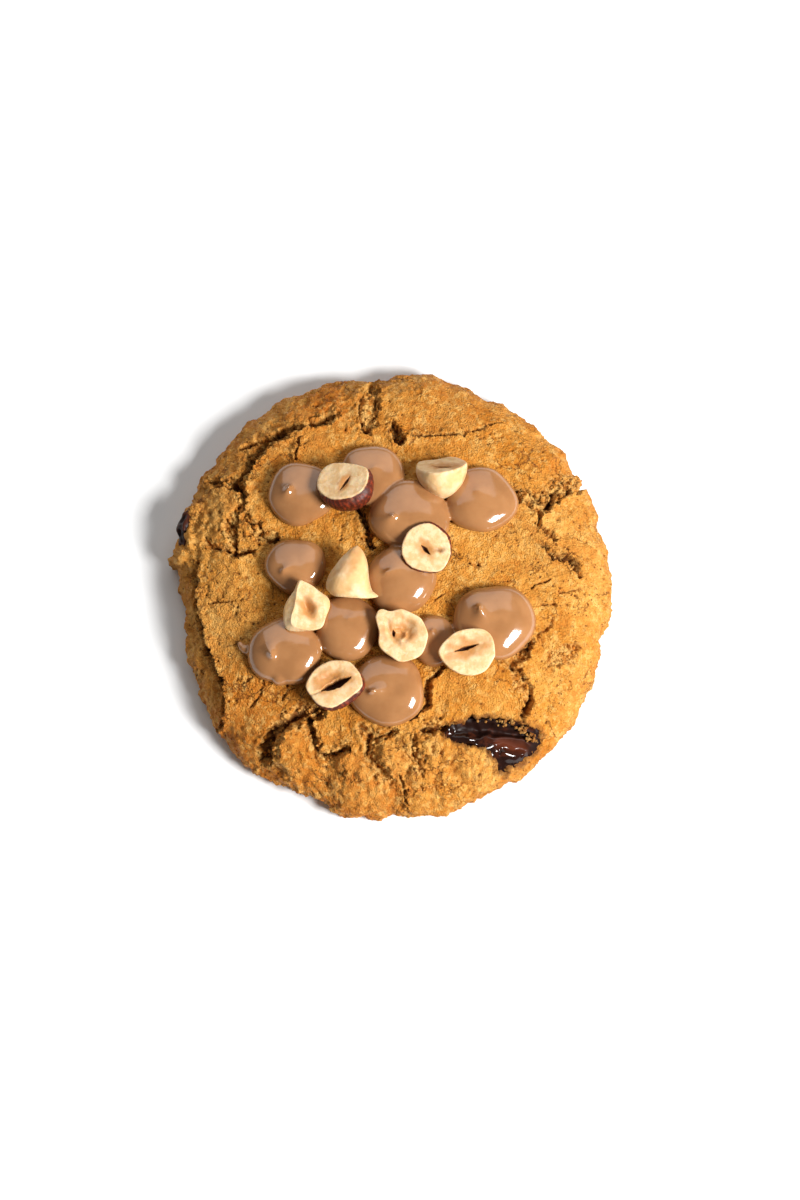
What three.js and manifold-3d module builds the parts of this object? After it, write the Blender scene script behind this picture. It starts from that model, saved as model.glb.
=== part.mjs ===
// A hazelnut cookie: a thick drop cookie with a cracked crust, piped drops of hazelnut
// cream, pieces of hazelnut pressed into the cream, and two chunks of dark chocolate.
// Millimetres, +Z up. The flat baked base lies on z = 0 and the middle of the cookie is
// on the Z axis. The front of the cookie is towards -Y.
import * as THREE from 'three';
import { mergeVertices } from 'three/addons/utils/BufferGeometryUtils.js';
import Module from 'manifold-3d';

const wasm = await Module();
wasm.setup();

// ---------------------------------------------------------------- driving dimensions

const GAP = 0.3; // clearance between pieces that touch

const COOKIE = {
  radius: 55.2, // mean radius of the outline
  rimHeight: 4, // height at which the side stands upright
  domeHeight: 13, // rise of the crust from there to the middle
  shoulder: 4, // power of the dome: flat on top, round at the shoulder
  cells: 54, // cells across the grid of the crust
  crowding: 1.25, // above 1, cells get finer towards the rim
  pull: 0.75, // corners this close to the middle of a crack are moved onto it
};

// The side below the rim: [share of the outline, height] down to the foot of the base.
const FOOT = [[0.997, 1.9], [0.965, 0]];

// Where the outline stands out (+) or in (-): [direction, millimetres, spread], degrees.
const BULGES = [
  [12, -1.5, 10], [35, -1.3, 2.2], [50, 0.5, 8], [82, 2.2, 5], [97, -1.2, 6], [125, 2.5, 22],
  [150, 0.8, 6], [169, 1, 3.5], [188, -1.6, 11], [224, 1.8, 11], [259, 2.2, 5], [281, 1.8, 6],
  [310, 0.5, 6], [345, -2.1, 11],
];

// The middle of the outline's box, measured from the point the outline turns about.
const MIDDLE = { x: -1.03, y: 0.07 };

// Fine waves of the outline: size, number round the cookie, and start of each.
const EDGE_WAVES = [[0.25, 11, 1], [0.2, 23, 4], [0.2, 37, 0]];

// Low swells of the crust: size, and the wave along each of two directions.
const BROAD_SWELL = { size: 0.55, reach: [8.5, 10], start: [1.3, 0.4] };
const NARROW_SWELL = { size: 0.35, reach: [5.6, 6.8], start: [2, 0.7] };

// Cracks in the crust: width, depth, and the points each one runs through.
const CRACKS = [
  { wide: 4.6, deep: 4.5, through: [[-6, 52.6], [-7, 45], [-7.5, 39.5]] },
  { wide: 3.2, deep: 4, through: [[-1, 41.5], [1, 36.5]] },
  { wide: 0.8, deep: 1.5, through: [[2, 38.4], [11, 38.7], [19, 39.4], [26, 42.4]] },
  { wide: 2.2, deep: 3.5, through: [[-15.5, 43.8], [-23, 40.7], [-31, 38.1], [-36, 32.5]] },
  { wide: 2.2, deep: 3.5, through: [[-36, 32.5], [-39.3, 26], [-38, 20.5]] },
  { wide: 1.2, deep: 2, through: [[-39.5, 35.8], [-32.5, 38.2]] },
  { wide: 0.9, deep: 2, through: [[-24, 38], [-25, 32]] },
  { wide: 2.5, deep: 4, through: [[-46.5, 27.4], [-39, 24.2]] },
  { wide: 2.2, deep: 4, through: [[-38.5, 21], [-41, 15.5], [-40.3, 8.5]] },
  { wide: 1.8, deep: 3, through: [[-38, 17], [-34.5, 14], [-34, 12], [-30, 11]] },
  { wide: 1.6, deep: 2.5, through: [[-36, 8], [-41, 7.8], [-47.5, 10.8]] },
  { wide: 3.6, deep: 4.5, through: [[30, 23], [36, 20], [41, 25.2], [47, 27.8]] },
  { wide: 1.2, deep: 2.5, through: [[36, 20], [35.7, 15], [40, 11.6]] },
  { wide: 1.1, deep: 2, through: [[37, 8.5], [43, 6.7], [47, 4.3]] },
  { wide: 2.2, deep: 3, through: [[33.5, -15], [29.5, -20.5], [31, -25], [33, -30], [31.5, -33]] },
  { wide: 2.6, deep: 2.2, through: [[37, -20.3], [45, -15.4]] },
  { wide: 1.4, deep: 2.5, through: [[12, -21.5], [7.5, -25], [7.5, -31], [3.5, -34.5]] },
  { wide: 3, deep: 1, through: [[3.5, -35], [5.5, -45]] },
  { wide: 1.5, deep: 3, through: [[6.5, -36.8], [12.5, -36.4]] },
  { wide: 1.6, deep: 2.5, through: [[0, -37.6], [-5.5, -39.3], [-9, -36.5]] },
  { wide: 1.5, deep: 2.5, through: [[-7, -39], [-7, -44]] },
  { wide: 3.5, deep: 4.5, through: [[-18, -33], [-27, -35.4], [-31, -42.5]] },
  { wide: 1.5, deep: 2.5, through: [[-21.5, -35], [-20, -42.2], [-12.5, -41.7]] },
  { wide: 2.2, deep: 3, through: [[-49.8, 5.7], [-49.8, -4.5], [-47.5, -14]] },
  { wide: 2.2, deep: 3, through: [[-47.5, -14], [-42.5, -26.5], [-43.5, -36]] },
  { wide: 1.8, deep: 3, through: [[-9.5, 19], [-7, 13], [-6, 8]] },
];
const NARROWEST_GROOVE = 2.4; // what the grid of the crust can still show
const LOWEST_CRUST = 2.4; // no crack cuts below this height

// Drops of cream, those that lie over their neighbours first. The tip is where the
// piping bag broke away, from the middle of the drop, and how far it stands up.
const DROPS = [
  { x: 3.4, y: 16.7, wide: 20.2, long: 18.2, tall: 5.6, tip: [-2.5, 1, 0.3] },
  { x: 24.5, y: -10.3, wide: 20.6, long: 18.6, tall: 5.4, tip: [-4, 4.5, 1.6] },
  { x: -23.7, y: 22.6, wide: 17, long: 16.4, tall: 4.6, tip: [-3.5, 1, 1.2] },
  { x: 1.2, y: 0, wide: 17.2, long: 17.2, tall: 5.4, tip: [-1, 1, 0.4] },
  { x: -6, y: 27.3, wide: 16, long: 16, tall: 4.4, tip: [0, 0, 0] },
  { x: -27.5, y: -17.8, wide: 18.4, long: 17, tall: 5.2, tip: [-2.5, -1, 1] },
  { x: -2.1, y: -27.6, wide: 18.6, long: 18, tall: 5.2, tip: [-3, -0.5, 0.8] },
  { x: -12, y: -12, wide: 16, long: 16.6, tall: 5.2, tip: [0.5, 1.5, 0.4] },
  { x: -25, y: 4, wide: 15.4, long: 14, tall: 5, tip: [-2, -3.3, 1] },
  { x: 21.3, y: 20.9, wide: 18, long: 17, tall: 4.8, tip: [0, 1, 0.2] },
  { x: 9.5, y: -15.3, wide: 11, long: 13, tall: 4.2, tip: [0, 2, 0.3] },
];
const DROP_SIDES = 18;
const TIP_LEAN = 6; // above 1, only the top of a drop leans towards its tip

// Pieces of hazelnut: the middle of the cut face and the way it looks; the outline of the
// face, to the right and to the back of that middle; the depth behind it, and how fast it
// narrows on the way down [start, end]; where the body swells past the face [direction,
// size, spread]; and the slit or hollow in the face [right, back, turn, long, wide, deep].
const KERNELS = [
  {
    at: [-13.3, 24, 24], facing: [-0.38, 0.45, 0.81], deep: 9, narrowing: [2.2, 0.5],
    face: [
      [6.8, 1.8], [6.3, -3.2], [3.5, -5.4], [-1, -5.6], [-4.2, -3.9], [-6.7, -0.5], [-6.2, 4.3],
      [-2.8, 6.4], [3.6, 4.4],
    ],
    swells: [[300, 0.3, 60]], dent: [0.7, -0.7, 56, 4.8, 0.7, 2],
  },
  {
    at: [11.7, 28.6, 22.6], facing: [-0.1, 0.84, 0.53], deep: 8.8, narrowing: [1.8, 0.62],
    face: [
      [6, -0.5], [3.9, 4.7], [1.8, 6.4], [-1.8, 5.3], [-6.1, 4.6], [-6.3, -1.5], [-2.8, -5.9],
      [2.6, -5.2],
    ],
    swells: [[200, 0.5, 40]], dent: [-0.1, -0.7, -18, 5.8, 1.2, 2],
  },
  {
    at: [7.5, 7.4, 23.8], facing: [0.03, -0.08, 1], deep: 6.6, narrowing: [2.4, 0.5],
    face: [
      [5.9, 0], [4.8, 3], [0.8, 5.8], [-4.1, 4.1], [-6.1, -0.8], [-4.2, -4.7], [0, -6.2],
      [3.7, -5.9], [5.9, -2.4],
    ],
    swells: [[50, 0.75, 38], [225, 0.35, 30]], dent: [-0.15, -0.8, -48, 3.4, 0.9, 2],
  },
  {
    at: [-10.3, -4.3, 20.6], facing: [0.02, -0.937, -0.34], deep: 12.4, narrowing: [2, 0.62],
    face: [
      [6.1, 0], [4.2, 4], [0, 5.3], [-4.4, 4.3], [-6, 0], [-4.2, -4.2], [0.4, -5.4], [4.6, -3.4],
    ],
    swells: [[180, 0.9, 50], [0, -1.3, 40]], dent: null,
  },
  {
    at: [-21.8, -7.6, 23.6], facing: [0.1, -0.1, 1], deep: 6.8, narrowing: [2.2, 0.5],
    face: [
      [4.4, 0.4], [2.5, 4], [-0.4, 5.9], [-2.1, 6], [-3.3, 0.6], [-4.1, -4.7], [0, -6.1],
      [3.9, -4.9],
    ],
    swells: [[172, 2, 34], [18, 1.6, 24], [215, 1, 22]], dent: [-0.2, -0.1, -62, 6, 4, 1.1],
  },
  {
    at: [1.6, -14.6, 23.8], facing: [0, -0.1, 1], deep: 6.6, narrowing: [2.4, 0.5],
    face: [
      [6.1, 0.5], [4.4, 3.9], [0.1, 6], [-2.8, 5.6], [-5.5, 6], [-6.6, 4], [-5.8, 0.5], [-5.8, -3],
      [-3.4, -5.4], [-0.3, -7], [4.4, -5.4], [6.1, -1.6],
    ],
    swells: [], dent: [-0.2, 0.7, 20, 6.8, 5.6, 1.7],
  },
  {
    at: [17.7, -19.1, 23.8], facing: [0.03, -0.1, 1], deep: 6.4, narrowing: [2.4, 0.5],
    face: [
      [6.6, 0], [6.1, 3.3], [3.8, 5.4], [0, 5.6], [-4, 4.1], [-7.3, -0.2], [-4, -4.5], [0, -5.9],
      [4, -4.9], [6.4, -1.6],
    ],
    swells: [], dent: [-0.4, 0.9, 17, 6.4, 1, 2],
  },
  {
    at: [-15.2, -26.4, 22.6], facing: [-0.1, 0.06, 0.99], deep: 6.4, narrowing: [2.4, 0.5],
    face: [
      [7.1, -0.4], [4.6, 4.3], [1.6, 5.4], [-2, 5], [-5.2, 2.7], [-7, -1], [-5.6, -3.6],
      [-3.6, -5.9], [0, -6.4], [5.2, -3.2],
    ],
    swells: [[312, 0.8, 42]], dent: [0.5, -0.6, 24, 8.4, 2.6, 3],
  },
];
const KERNEL_SIDES = 16;
const KERNEL_LEVELS = [0, 0.14, 0.4, 0.7, 0.9]; // of the depth, where the body has a ring

// A chunk of dark chocolate melted into the crust: its outline seen from above, how far
// it stands proud, and the pocket that holds it: its depth, and where its wall starts and
// ends, from the outline.
const FRONT_CHUNK = {
  outline: [
    [12.5, -38], [14.8, -35.6], [19, -34.3], [28.5, -34.2], [32.3, -34.8], [35, -36.6],
    [35.6, -39.4], [34.4, -42], [32, -43.8], [28.5, -45.2], [25.4, -46.4], [24.8, -44.2],
    [22.3, -41.2], [19, -40.1], [15.4, -40.3],
  ],
  proud: 0.4,
  pocket: 3,
  wall: [-0.4, 1.4],
};

// A chunk that stands out of the side: its middle and its size along X, Y and Z.
const SIDE_CHUNK = { at: [-53.2, 15.4, 8.2], size: [5.4, 9.5, 6.6], lean: 0.35 };

// --------------------------------------------------------------------- the crust's form

const radians = THREE.MathUtils.degToRad;
const { clamp, smoothstep } = THREE.MathUtils;

// Smallest turn between two directions, in degrees.
function turnBetween(a, b) {
  return Math.abs(((a - b + 540) % 360) - 180);
}

// Radius of the cookie's outline in a direction, with the uneven edge of a dropped dough.
function outlineRadius(angle) {
  const degrees = (angle / Math.PI) * 180;
  let radius = COOKIE.radius;
  for (const [at, size, spread] of BULGES) {
    radius += size * Math.exp(-0.5 * (turnBetween(degrees, at) / spread) ** 2);
  }
  for (const [size, waves, start] of EDGE_WAVES) radius += size * Math.sin(waves * angle + start);
  return radius;
}

// Low swells of the dough, up to about 0.9 mm either way.
function swell(x, y) {
  const wave = ({ size, reach, start }, along, across) => (
    size * Math.sin(along / reach[0] + start[0]) * Math.sin(across / reach[1] + start[1])
  );
  return wave(BROAD_SWELL, x, y) + wave(NARROW_SWELL, x + y, x - y);
}

// The crust without its cracks.
function domeHeight(x, y) {
  const share = Math.min(1, Math.hypot(x, y) / outlineRadius(Math.atan2(y, x)));
  const rise = Math.sqrt(1 - share ** COOKIE.shoulder);
  return COOKIE.rimHeight + COOKIE.domeHeight * rise + swell(x, y) * rise;
}

// The nearest place on a straight run, and how far away it is.
function nearestOnRun(x, y, [fromX, fromY], [toX, toY]) {
  const [runX, runY] = [toX - fromX, toY - fromY];
  const along = ((x - fromX) * runX + (y - fromY) * runY) / (runX ** 2 + runY ** 2);
  const share = clamp(along, 0, 1);
  const place = { x: fromX + share * runX, y: fromY + share * runY };
  return { ...place, away: Math.hypot(x - place.x, y - place.y) };
}

// How deep the cracks cut at a point.
function crackDepth(x, y) {
  let depth = 0;
  for (const { wide, deep, through } of CRACKS) {
    const half = Math.max(wide, NARROWEST_GROOVE) / 2;
    for (let i = 1; i < through.length; i++) {
      const { away } = nearestOnRun(x, y, through[i - 1], through[i]);
      depth = Math.max(depth, deep * (1 - smoothstep(away, 0, half)));
    }
  }
  return depth;
}

// The middle of a crack if one runs very close by, or else the place itself.
function pulledToCrack(x, y) {
  let nearest = { x, y, away: COOKIE.pull };
  for (const { through } of CRACKS) {
    for (let i = 1; i < through.length; i++) {
      const place = nearestOnRun(x, y, through[i - 1], through[i]);
      if (place.away < nearest.away) nearest = place;
    }
  }
  return nearest;
}

// Distance from a point to a closed outline, negative inside it.
function distanceToOutline(x, y, outline) {
  let away = Infinity;
  let inside = false;
  outline.forEach((to, i) => {
    const from = outline[(i + outline.length - 1) % outline.length];
    away = Math.min(away, nearestOnRun(x, y, from, to).away);
    const share = (y - from[1]) / (to[1] - from[1]);
    const crosses = from[1] > y !== to[1] > y;
    if (crosses && x < from[0] + share * (to[0] - from[0])) inside = !inside;
  });
  return inside ? -away : away;
}

// Depth of the hollow that holds the front chunk.
function pocketDepth(x, y) {
  const away = distanceToOutline(x, y, FRONT_CHUNK.outline);
  return FRONT_CHUNK.pocket * (1 - smoothstep(away, ...FRONT_CHUNK.wall));
}

function crustHeight(x, y) {
  return Math.max(LOWEST_CRUST, domeHeight(x, y) - Math.max(crackDepth(x, y), pocketDepth(x, y)));
}

// ------------------------------------------------------------------------ solid helpers

// A closed geometry as a solid: shared corners merged, collapsed triangles dropped.
function toSolid(geometry) {
  const bare = geometry.clone();
  bare.deleteAttribute('normal');
  bare.deleteAttribute('uv');
  const merged = mergeVertices(bare);
  const corners = [];
  const { array } = merged.index;
  for (let i = 0; i < array.length; i += 3) {
    const [a, b, c] = [array[i], array[i + 1], array[i + 2]];
    if (a !== b && b !== c && c !== a) corners.push(a, b, c);
  }
  const vertProperties = merged.attributes.position.array;
  const triVerts = Uint32Array.from(corners);
  return new wasm.Manifold(new wasm.Mesh({ numProp: 3, vertProperties, triVerts }));
}

function toGeometry(solid) {
  const { vertProperties, triVerts } = solid.getMesh();
  const geometry = new THREE.BufferGeometry();
  geometry.setAttribute('position', new THREE.BufferAttribute(vertProperties, 3));
  geometry.setIndex(new THREE.BufferAttribute(triVerts, 1));
  geometry.computeVertexNormals();
  return geometry;
}

// The largest body of a solid, without scraps that a cut left beside it.
function largestBody(solid) {
  return solid.decompose().reduce((best, body) => (body.volume() > best.volume() ? body : best));
}

// Moves each corner of a geometry by a function of its place.
function reshape(geometry, move) {
  const { position } = geometry.attributes;
  const corner = new THREE.Vector3();
  for (let i = 0; i < position.count; i++) {
    corner.fromBufferAttribute(position, i);
    move(corner);
    position.setXYZ(i, corner.x, corner.y, corner.z);
  }
  return geometry;
}

function lathe(profile, sides) {
  const points = profile.map(([radius, height]) => new THREE.Vector2(radius, height));
  return new THREE.LatheGeometry(points, sides).rotateX(Math.PI / 2);
}

// ------------------------------------------------------------------------------- cookie

// Direction and share of the radius for a place on a square grid, laid out over a disc.
function discPlace(u, v) {
  const share = Math.max(Math.abs(u), Math.abs(v));
  if (share === 0) return { share: 0, angle: 0 };
  const angle = Math.abs(u) >= Math.abs(v)
    ? (u > 0 ? 0 : Math.PI) + (Math.PI / 4) * (v / u)
    : (v > 0 ? Math.PI / 2 : -Math.PI / 2) - (Math.PI / 4) * (u / v);
  return { share: 1 - (1 - share) ** COOKIE.crowding, angle };
}

// The rim of a square grid as a loop of its corner numbers, anticlockwise from above.
function rimLoop(cells) {
  const across = cells + 1;
  const loop = [];
  for (let i = 0; i < cells; i++) loop.push(cells * across + i);
  for (let i = 0; i < cells; i++) loop.push((cells - i) * across + cells);
  for (let i = 0; i < cells; i++) loop.push(cells - i);
  for (let i = 0; i < cells; i++) loop.push(i * across);
  return loop;
}

// A loaf on the cookie's outline, with a flat base and the given height of crust.
function loafSolid(heightAt) {
  const { cells } = COOKIE;
  const crust = new THREE.PlaneGeometry(2, 2, cells, cells);
  reshape(crust, (corner) => {
    const { share, angle } = discPlace(corner.x, corner.y);
    const radius = share * outlineRadius(angle);
    const place = { x: radius * Math.cos(angle), y: radius * Math.sin(angle) };
    const { x, y } = share < 1 ? pulledToCrack(place.x, place.y) : place;
    corner.set(x, y, share < 1 ? heightAt(x, y) : COOKIE.rimHeight);
  });
  const places = Array.from(crust.attributes.position.array);
  const corners = Array.from(crust.index.array);
  const rim = rimLoop(cells);
  let upper = rim;
  for (const [share, height] of FOOT) {
    const lower = rim.map((corner) => {
      places.push(places[corner * 3] * share, places[corner * 3 + 1] * share, height);
      return places.length / 3 - 1;
    });
    upper.forEach((corner, i) => {
      const next = (i + 1) % rim.length;
      corners.push(corner, lower[i], upper[next], upper[next], lower[i], lower[next]);
    });
    upper = lower;
  }
  places.push(0, 0, 0);
  const centre = places.length / 3 - 1;
  upper.forEach((corner, i) => corners.push(corner, centre, upper[(i + 1) % rim.length]));
  const geometry = new THREE.BufferGeometry();
  geometry.setAttribute('position', new THREE.Float32BufferAttribute(places, 3));
  geometry.setIndex(corners);
  return toSolid(geometry);
}

// ---------------------------------------------------------------------------- chocolate

// The front chunk fills its pocket and stands a little proud of the uncracked crust.
function frontChunkSolid(bearing) {
  const { outline, proud } = FRONT_CHUNK;
  const shape = new THREE.Shape(outline.map(([x, y]) => new THREE.Vector2(x, y)));
  const depth = COOKIE.domeHeight + COOKIE.rimHeight;
  const block = new THREE.ExtrudeGeometry(shape, { depth, bevelEnabled: false });
  block.translate(0, 0, COOKIE.rimHeight + 2 * GAP);
  const level = loafSolid(domeHeight).translate(0, 0, proud);
  return largestBody(toSolid(block).intersect(level).subtract(bearing));
}

// The side chunk is a rounded lump that leans on the side of the cookie.
function sideChunkSolid(bearing) {
  const { at, size, lean } = SIDE_CHUNK;
  const lump = new THREE.SphereGeometry(1, 10, 7);
  reshape(lump, (corner) => {
    corner.x = (corner.x * size[0]) / 2 + lean * corner.y + at[0];
    corner.y = (corner.y * size[1]) / 2 + at[1];
    corner.z = (corner.z * size[2]) / 2 + at[2];
  });
  return largestBody(toSolid(lump).subtract(bearing).subtract(bearing.translate(-GAP, 0, -GAP)));
}

// -------------------------------------------------------------------------------- cream

// Half section of a drop: [share of its radius, share of its height], from the middle of
// the underside, which follows the crust, round the bulging side, to the tip.
const DROP_PROFILE = [
  [0, 0], [0.5, 0], [0.9, 0], [1, 0.2], [0.97, 0.45], [0.82, 0.75], [0.5, 0.95], [0, 1],
];

function dropSolid({ x, y, wide, long, tall, tip }, grow = 0) {
  const [tipX, tipY, tipRise] = tip;
  const drop = reshape(lathe(DROP_PROFILE, DROP_SIDES), (corner) => {
    const share = Math.hypot(corner.x, corner.y);
    const level = corner.z;
    const lean = Math.max(0, level) ** TIP_LEAN;
    const rise = share < 0.01 && level > 0 ? tipRise : 0;
    corner.x = x + corner.x * (wide / 2 + grow) + tipX * lean;
    corner.y = y + corner.y * (long / 2 + grow) + tipY * lean;
    corner.z = domeHeight(corner.x, corner.y) + GAP + level * (tall + grow) + rise;
  });
  return toSolid(drop);
}

// ---------------------------------------------------------------------------- hazelnuts

function kernelFrame({ at, facing }) {
  const up = new THREE.Vector3(...facing).normalize();
  const across = new THREE.Vector3(1, 0, 0).addScaledVector(up, -up.x).normalize();
  const side = new THREE.Vector3().crossVectors(up, across);
  return new THREE.Matrix4().makeBasis(across, side, up).setPosition(...at);
}

// The outline of a cut face as even spokes from its middle, anticlockwise.
function faceSpokes(face) {
  const corners = face.map(([x, y]) => new THREE.Vector3(x, y, 0));
  const loop = new THREE.CatmullRomCurve3(corners, true).getSpacedPoints(KERNEL_SIDES);
  loop.pop();
  const middle = new THREE.Vector3();
  loop.forEach((corner) => middle.addScaledVector(corner, 1 / loop.length));
  const spokes = loop.map((corner) => corner.sub(middle));
  const turn = new THREE.Vector3().crossVectors(spokes[0], spokes[1]).z;
  return { middle, spokes: turn > 0 ? spokes : spokes.reverse() };
}

// How far the body swells past its face in a direction, at a share of its depth.
function swellPast(swells, spoke, level) {
  const degrees = (Math.atan2(spoke.y, spoke.x) / Math.PI) * 180;
  let past = 0;
  for (const [at, size, spread] of swells) {
    past += size * Math.exp(-0.5 * (turnBetween(degrees, at) / spread) ** 2);
  }
  return past * Math.sin(Math.PI * Math.min(1, level ** 0.6));
}

// A kernel in its own frame: cut face up on z = 0, and the body behind it down to a point.
function kernelSolid({ face, deep, narrowing, swells, dent }, grow = 0) {
  const { middle, spokes } = faceSpokes(face);
  const places = [middle.x, middle.y, grow];
  for (const level of KERNEL_LEVELS) {
    const width = (1 - level ** narrowing[0]) ** narrowing[1];
    for (const spoke of spokes) {
      const reach = spoke.length();
      const scale = (width * (reach + swellPast(swells, spoke, level)) + grow) / reach;
      const height = level === 0 ? grow : -deep * level - grow * level;
      places.push(middle.x + spoke.x * scale, middle.y + spoke.y * scale, height);
    }
  }
  places.push(middle.x, middle.y, -deep - grow);
  const corners = [];
  const last = places.length / 3 - 1;
  spokes.forEach((_, i) => {
    const next = (i + 1) % spokes.length;
    corners.push(0, 1 + i, 1 + next);
    for (let ring = 1; ring < KERNEL_LEVELS.length; ring++) {
      const [upper, lower] = [1 + (ring - 1) * spokes.length, 1 + ring * spokes.length];
      corners.push(upper + i, lower + i, upper + next, upper + next, lower + i, lower + next);
    }
    const lowest = last - spokes.length;
    corners.push(lowest + i, last, lowest + next);
  });
  const geometry = new THREE.BufferGeometry();
  geometry.setAttribute('position', new THREE.Float32BufferAttribute(places, 3));
  geometry.setIndex(corners);
  const body = toSolid(geometry);
  if (!dent || grow > 0) return body;
  const [right, back, turn, long, wide, dip] = dent;
  const hollow = new THREE.SphereGeometry(1, 10, 6).scale(long / 2, wide / 2, dip);
  hollow.rotateZ(radians(turn)).translate(right, back, 0);
  return body.subtract(toSolid(hollow));
}

// ------------------------------------------------------------------------- the assembly

const cookieMaterial = new THREE.MeshStandardMaterial({ color: 0xdc9b52, roughness: 0.85, metalness: 0 });
const creamMaterial = new THREE.MeshStandardMaterial({ color: 0xc08a5e, roughness: 0.3, metalness: 0 });
const nutMaterial = new THREE.MeshStandardMaterial({ color: 0xf4dcab, roughness: 0.6, metalness: 0 });
const chocolateMaterial = new THREE.MeshStandardMaterial({ color: 0x3d2018, roughness: 0.3, metalness: 0 });

const whole = new THREE.Group();
const pieces = new THREE.Group();
pieces.position.set(-MIDDLE.x, -MIDDLE.y, 0);
whole.add(pieces);

// Adds a solid as a named mesh that stands in its own frame.
function addPiece(name, solid, material, frame) {
  const mesh = new THREE.Mesh(toGeometry(solid).applyMatrix4(frame.clone().invert()), material);
  mesh.name = name;
  frame.decompose(mesh.position, mesh.quaternion, mesh.scale);
  pieces.add(mesh);
}

const home = new THREE.Matrix4();
const cookie = loafSolid(crustHeight);
const bearing = cookie.translate(0, 0, GAP);
addPiece('cookie', cookie, cookieMaterial, home);
addPiece('chocolate_chunk_front', frontChunkSolid(bearing), chocolateMaterial, home);
addPiece('chocolate_chunk_side', sideChunkSolid(bearing), chocolateMaterial, home);

KERNELS.forEach((kernel, i) => {
  const frame = kernelFrame(kernel);
  const solid = kernelSolid(kernel).transform(frame.elements);
  addPiece(`hazelnut_${i + 1}`, largestBody(solid.subtract(bearing)), nutMaterial, frame);
});

const room = KERNELS.map((kernel) => (
  kernelSolid(kernel, GAP).transform(kernelFrame(kernel).elements)
));
DROPS.forEach((drop, i) => {
  let solid = dropSolid(drop);
  for (const kernel of room) solid = solid.subtract(kernel);
  for (const over of DROPS.slice(0, i)) solid = solid.subtract(dropSolid(over, GAP));
  const frame = new THREE.Matrix4().setPosition(drop.x, drop.y, domeHeight(drop.x, drop.y));
  addPiece(`cream_drop_${i + 1}`, largestBody(solid), creamMaterial, frame);
});

export default whole;
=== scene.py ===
import math

import bmesh
import bpy
import numpy as np
from mathutils import Matrix, Vector


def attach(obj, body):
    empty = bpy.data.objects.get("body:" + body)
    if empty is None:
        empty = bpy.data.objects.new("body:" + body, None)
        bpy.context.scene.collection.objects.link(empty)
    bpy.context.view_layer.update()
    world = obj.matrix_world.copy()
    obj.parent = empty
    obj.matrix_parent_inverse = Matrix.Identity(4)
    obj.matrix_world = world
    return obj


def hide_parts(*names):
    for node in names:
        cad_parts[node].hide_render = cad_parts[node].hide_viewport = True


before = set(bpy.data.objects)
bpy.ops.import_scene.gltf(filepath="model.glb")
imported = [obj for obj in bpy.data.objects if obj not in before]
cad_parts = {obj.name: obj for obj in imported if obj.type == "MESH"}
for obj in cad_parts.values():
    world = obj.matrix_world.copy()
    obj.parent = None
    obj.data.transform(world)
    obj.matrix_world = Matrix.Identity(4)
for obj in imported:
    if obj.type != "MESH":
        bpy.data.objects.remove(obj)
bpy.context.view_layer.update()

# ------------------------------------------------------------------------------ baked dough
# The cookie itself: a ball of dough dropped on a tray, which spread, rose and cracked. A thin
# golden crust lies over a paler, lumpy crumb that shows in the cracks and along their edges.
# It is one mesh: a fine grid over the crust, rings down the side, and a flat baked base.

# Sizes are in millimetres. MIDDLE is the place that the part's own frame has at its origin.
MM = 0.001
MIDDLE = np.array((-1.03, 0.07, 0.0))
RADIUS = 55.2
RIM_HEIGHT = 4.0
DOME_HEIGHT = 13.0
# The power of the dome's curve: the higher it is, the flatter the top.
SHOULDER = 4
# The foot of the flank and the rings under it, as shares of the outline.
FOOT_SHARE = 0.965
BASE_SHARES = (0.93, 0.8, 0.5, 0.2)
# The width of a mesh triangle before any is split, and the length of mesh that runs down the flank.
COARSE_CELL = 0.92
FLANK_RUN = 5.0

# Where the outline stands out or in: direction in degrees, size, and spread in degrees.
BULGES = (
    (12, -1.5, 10), (35, -1.3, 2.2), (50, 0.5, 8), (82, 2.2, 5), (97, -1.2, 6), (125, 2.5, 22),
    (150, 0.8, 6), (169, 1, 3.5), (188, -1.6, 11), (224, 1.8, 11), (259, 2.2, 5), (281, 1.8, 6),
    (310, 0.5, 6), (345, -2.1, 11),
)

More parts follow.
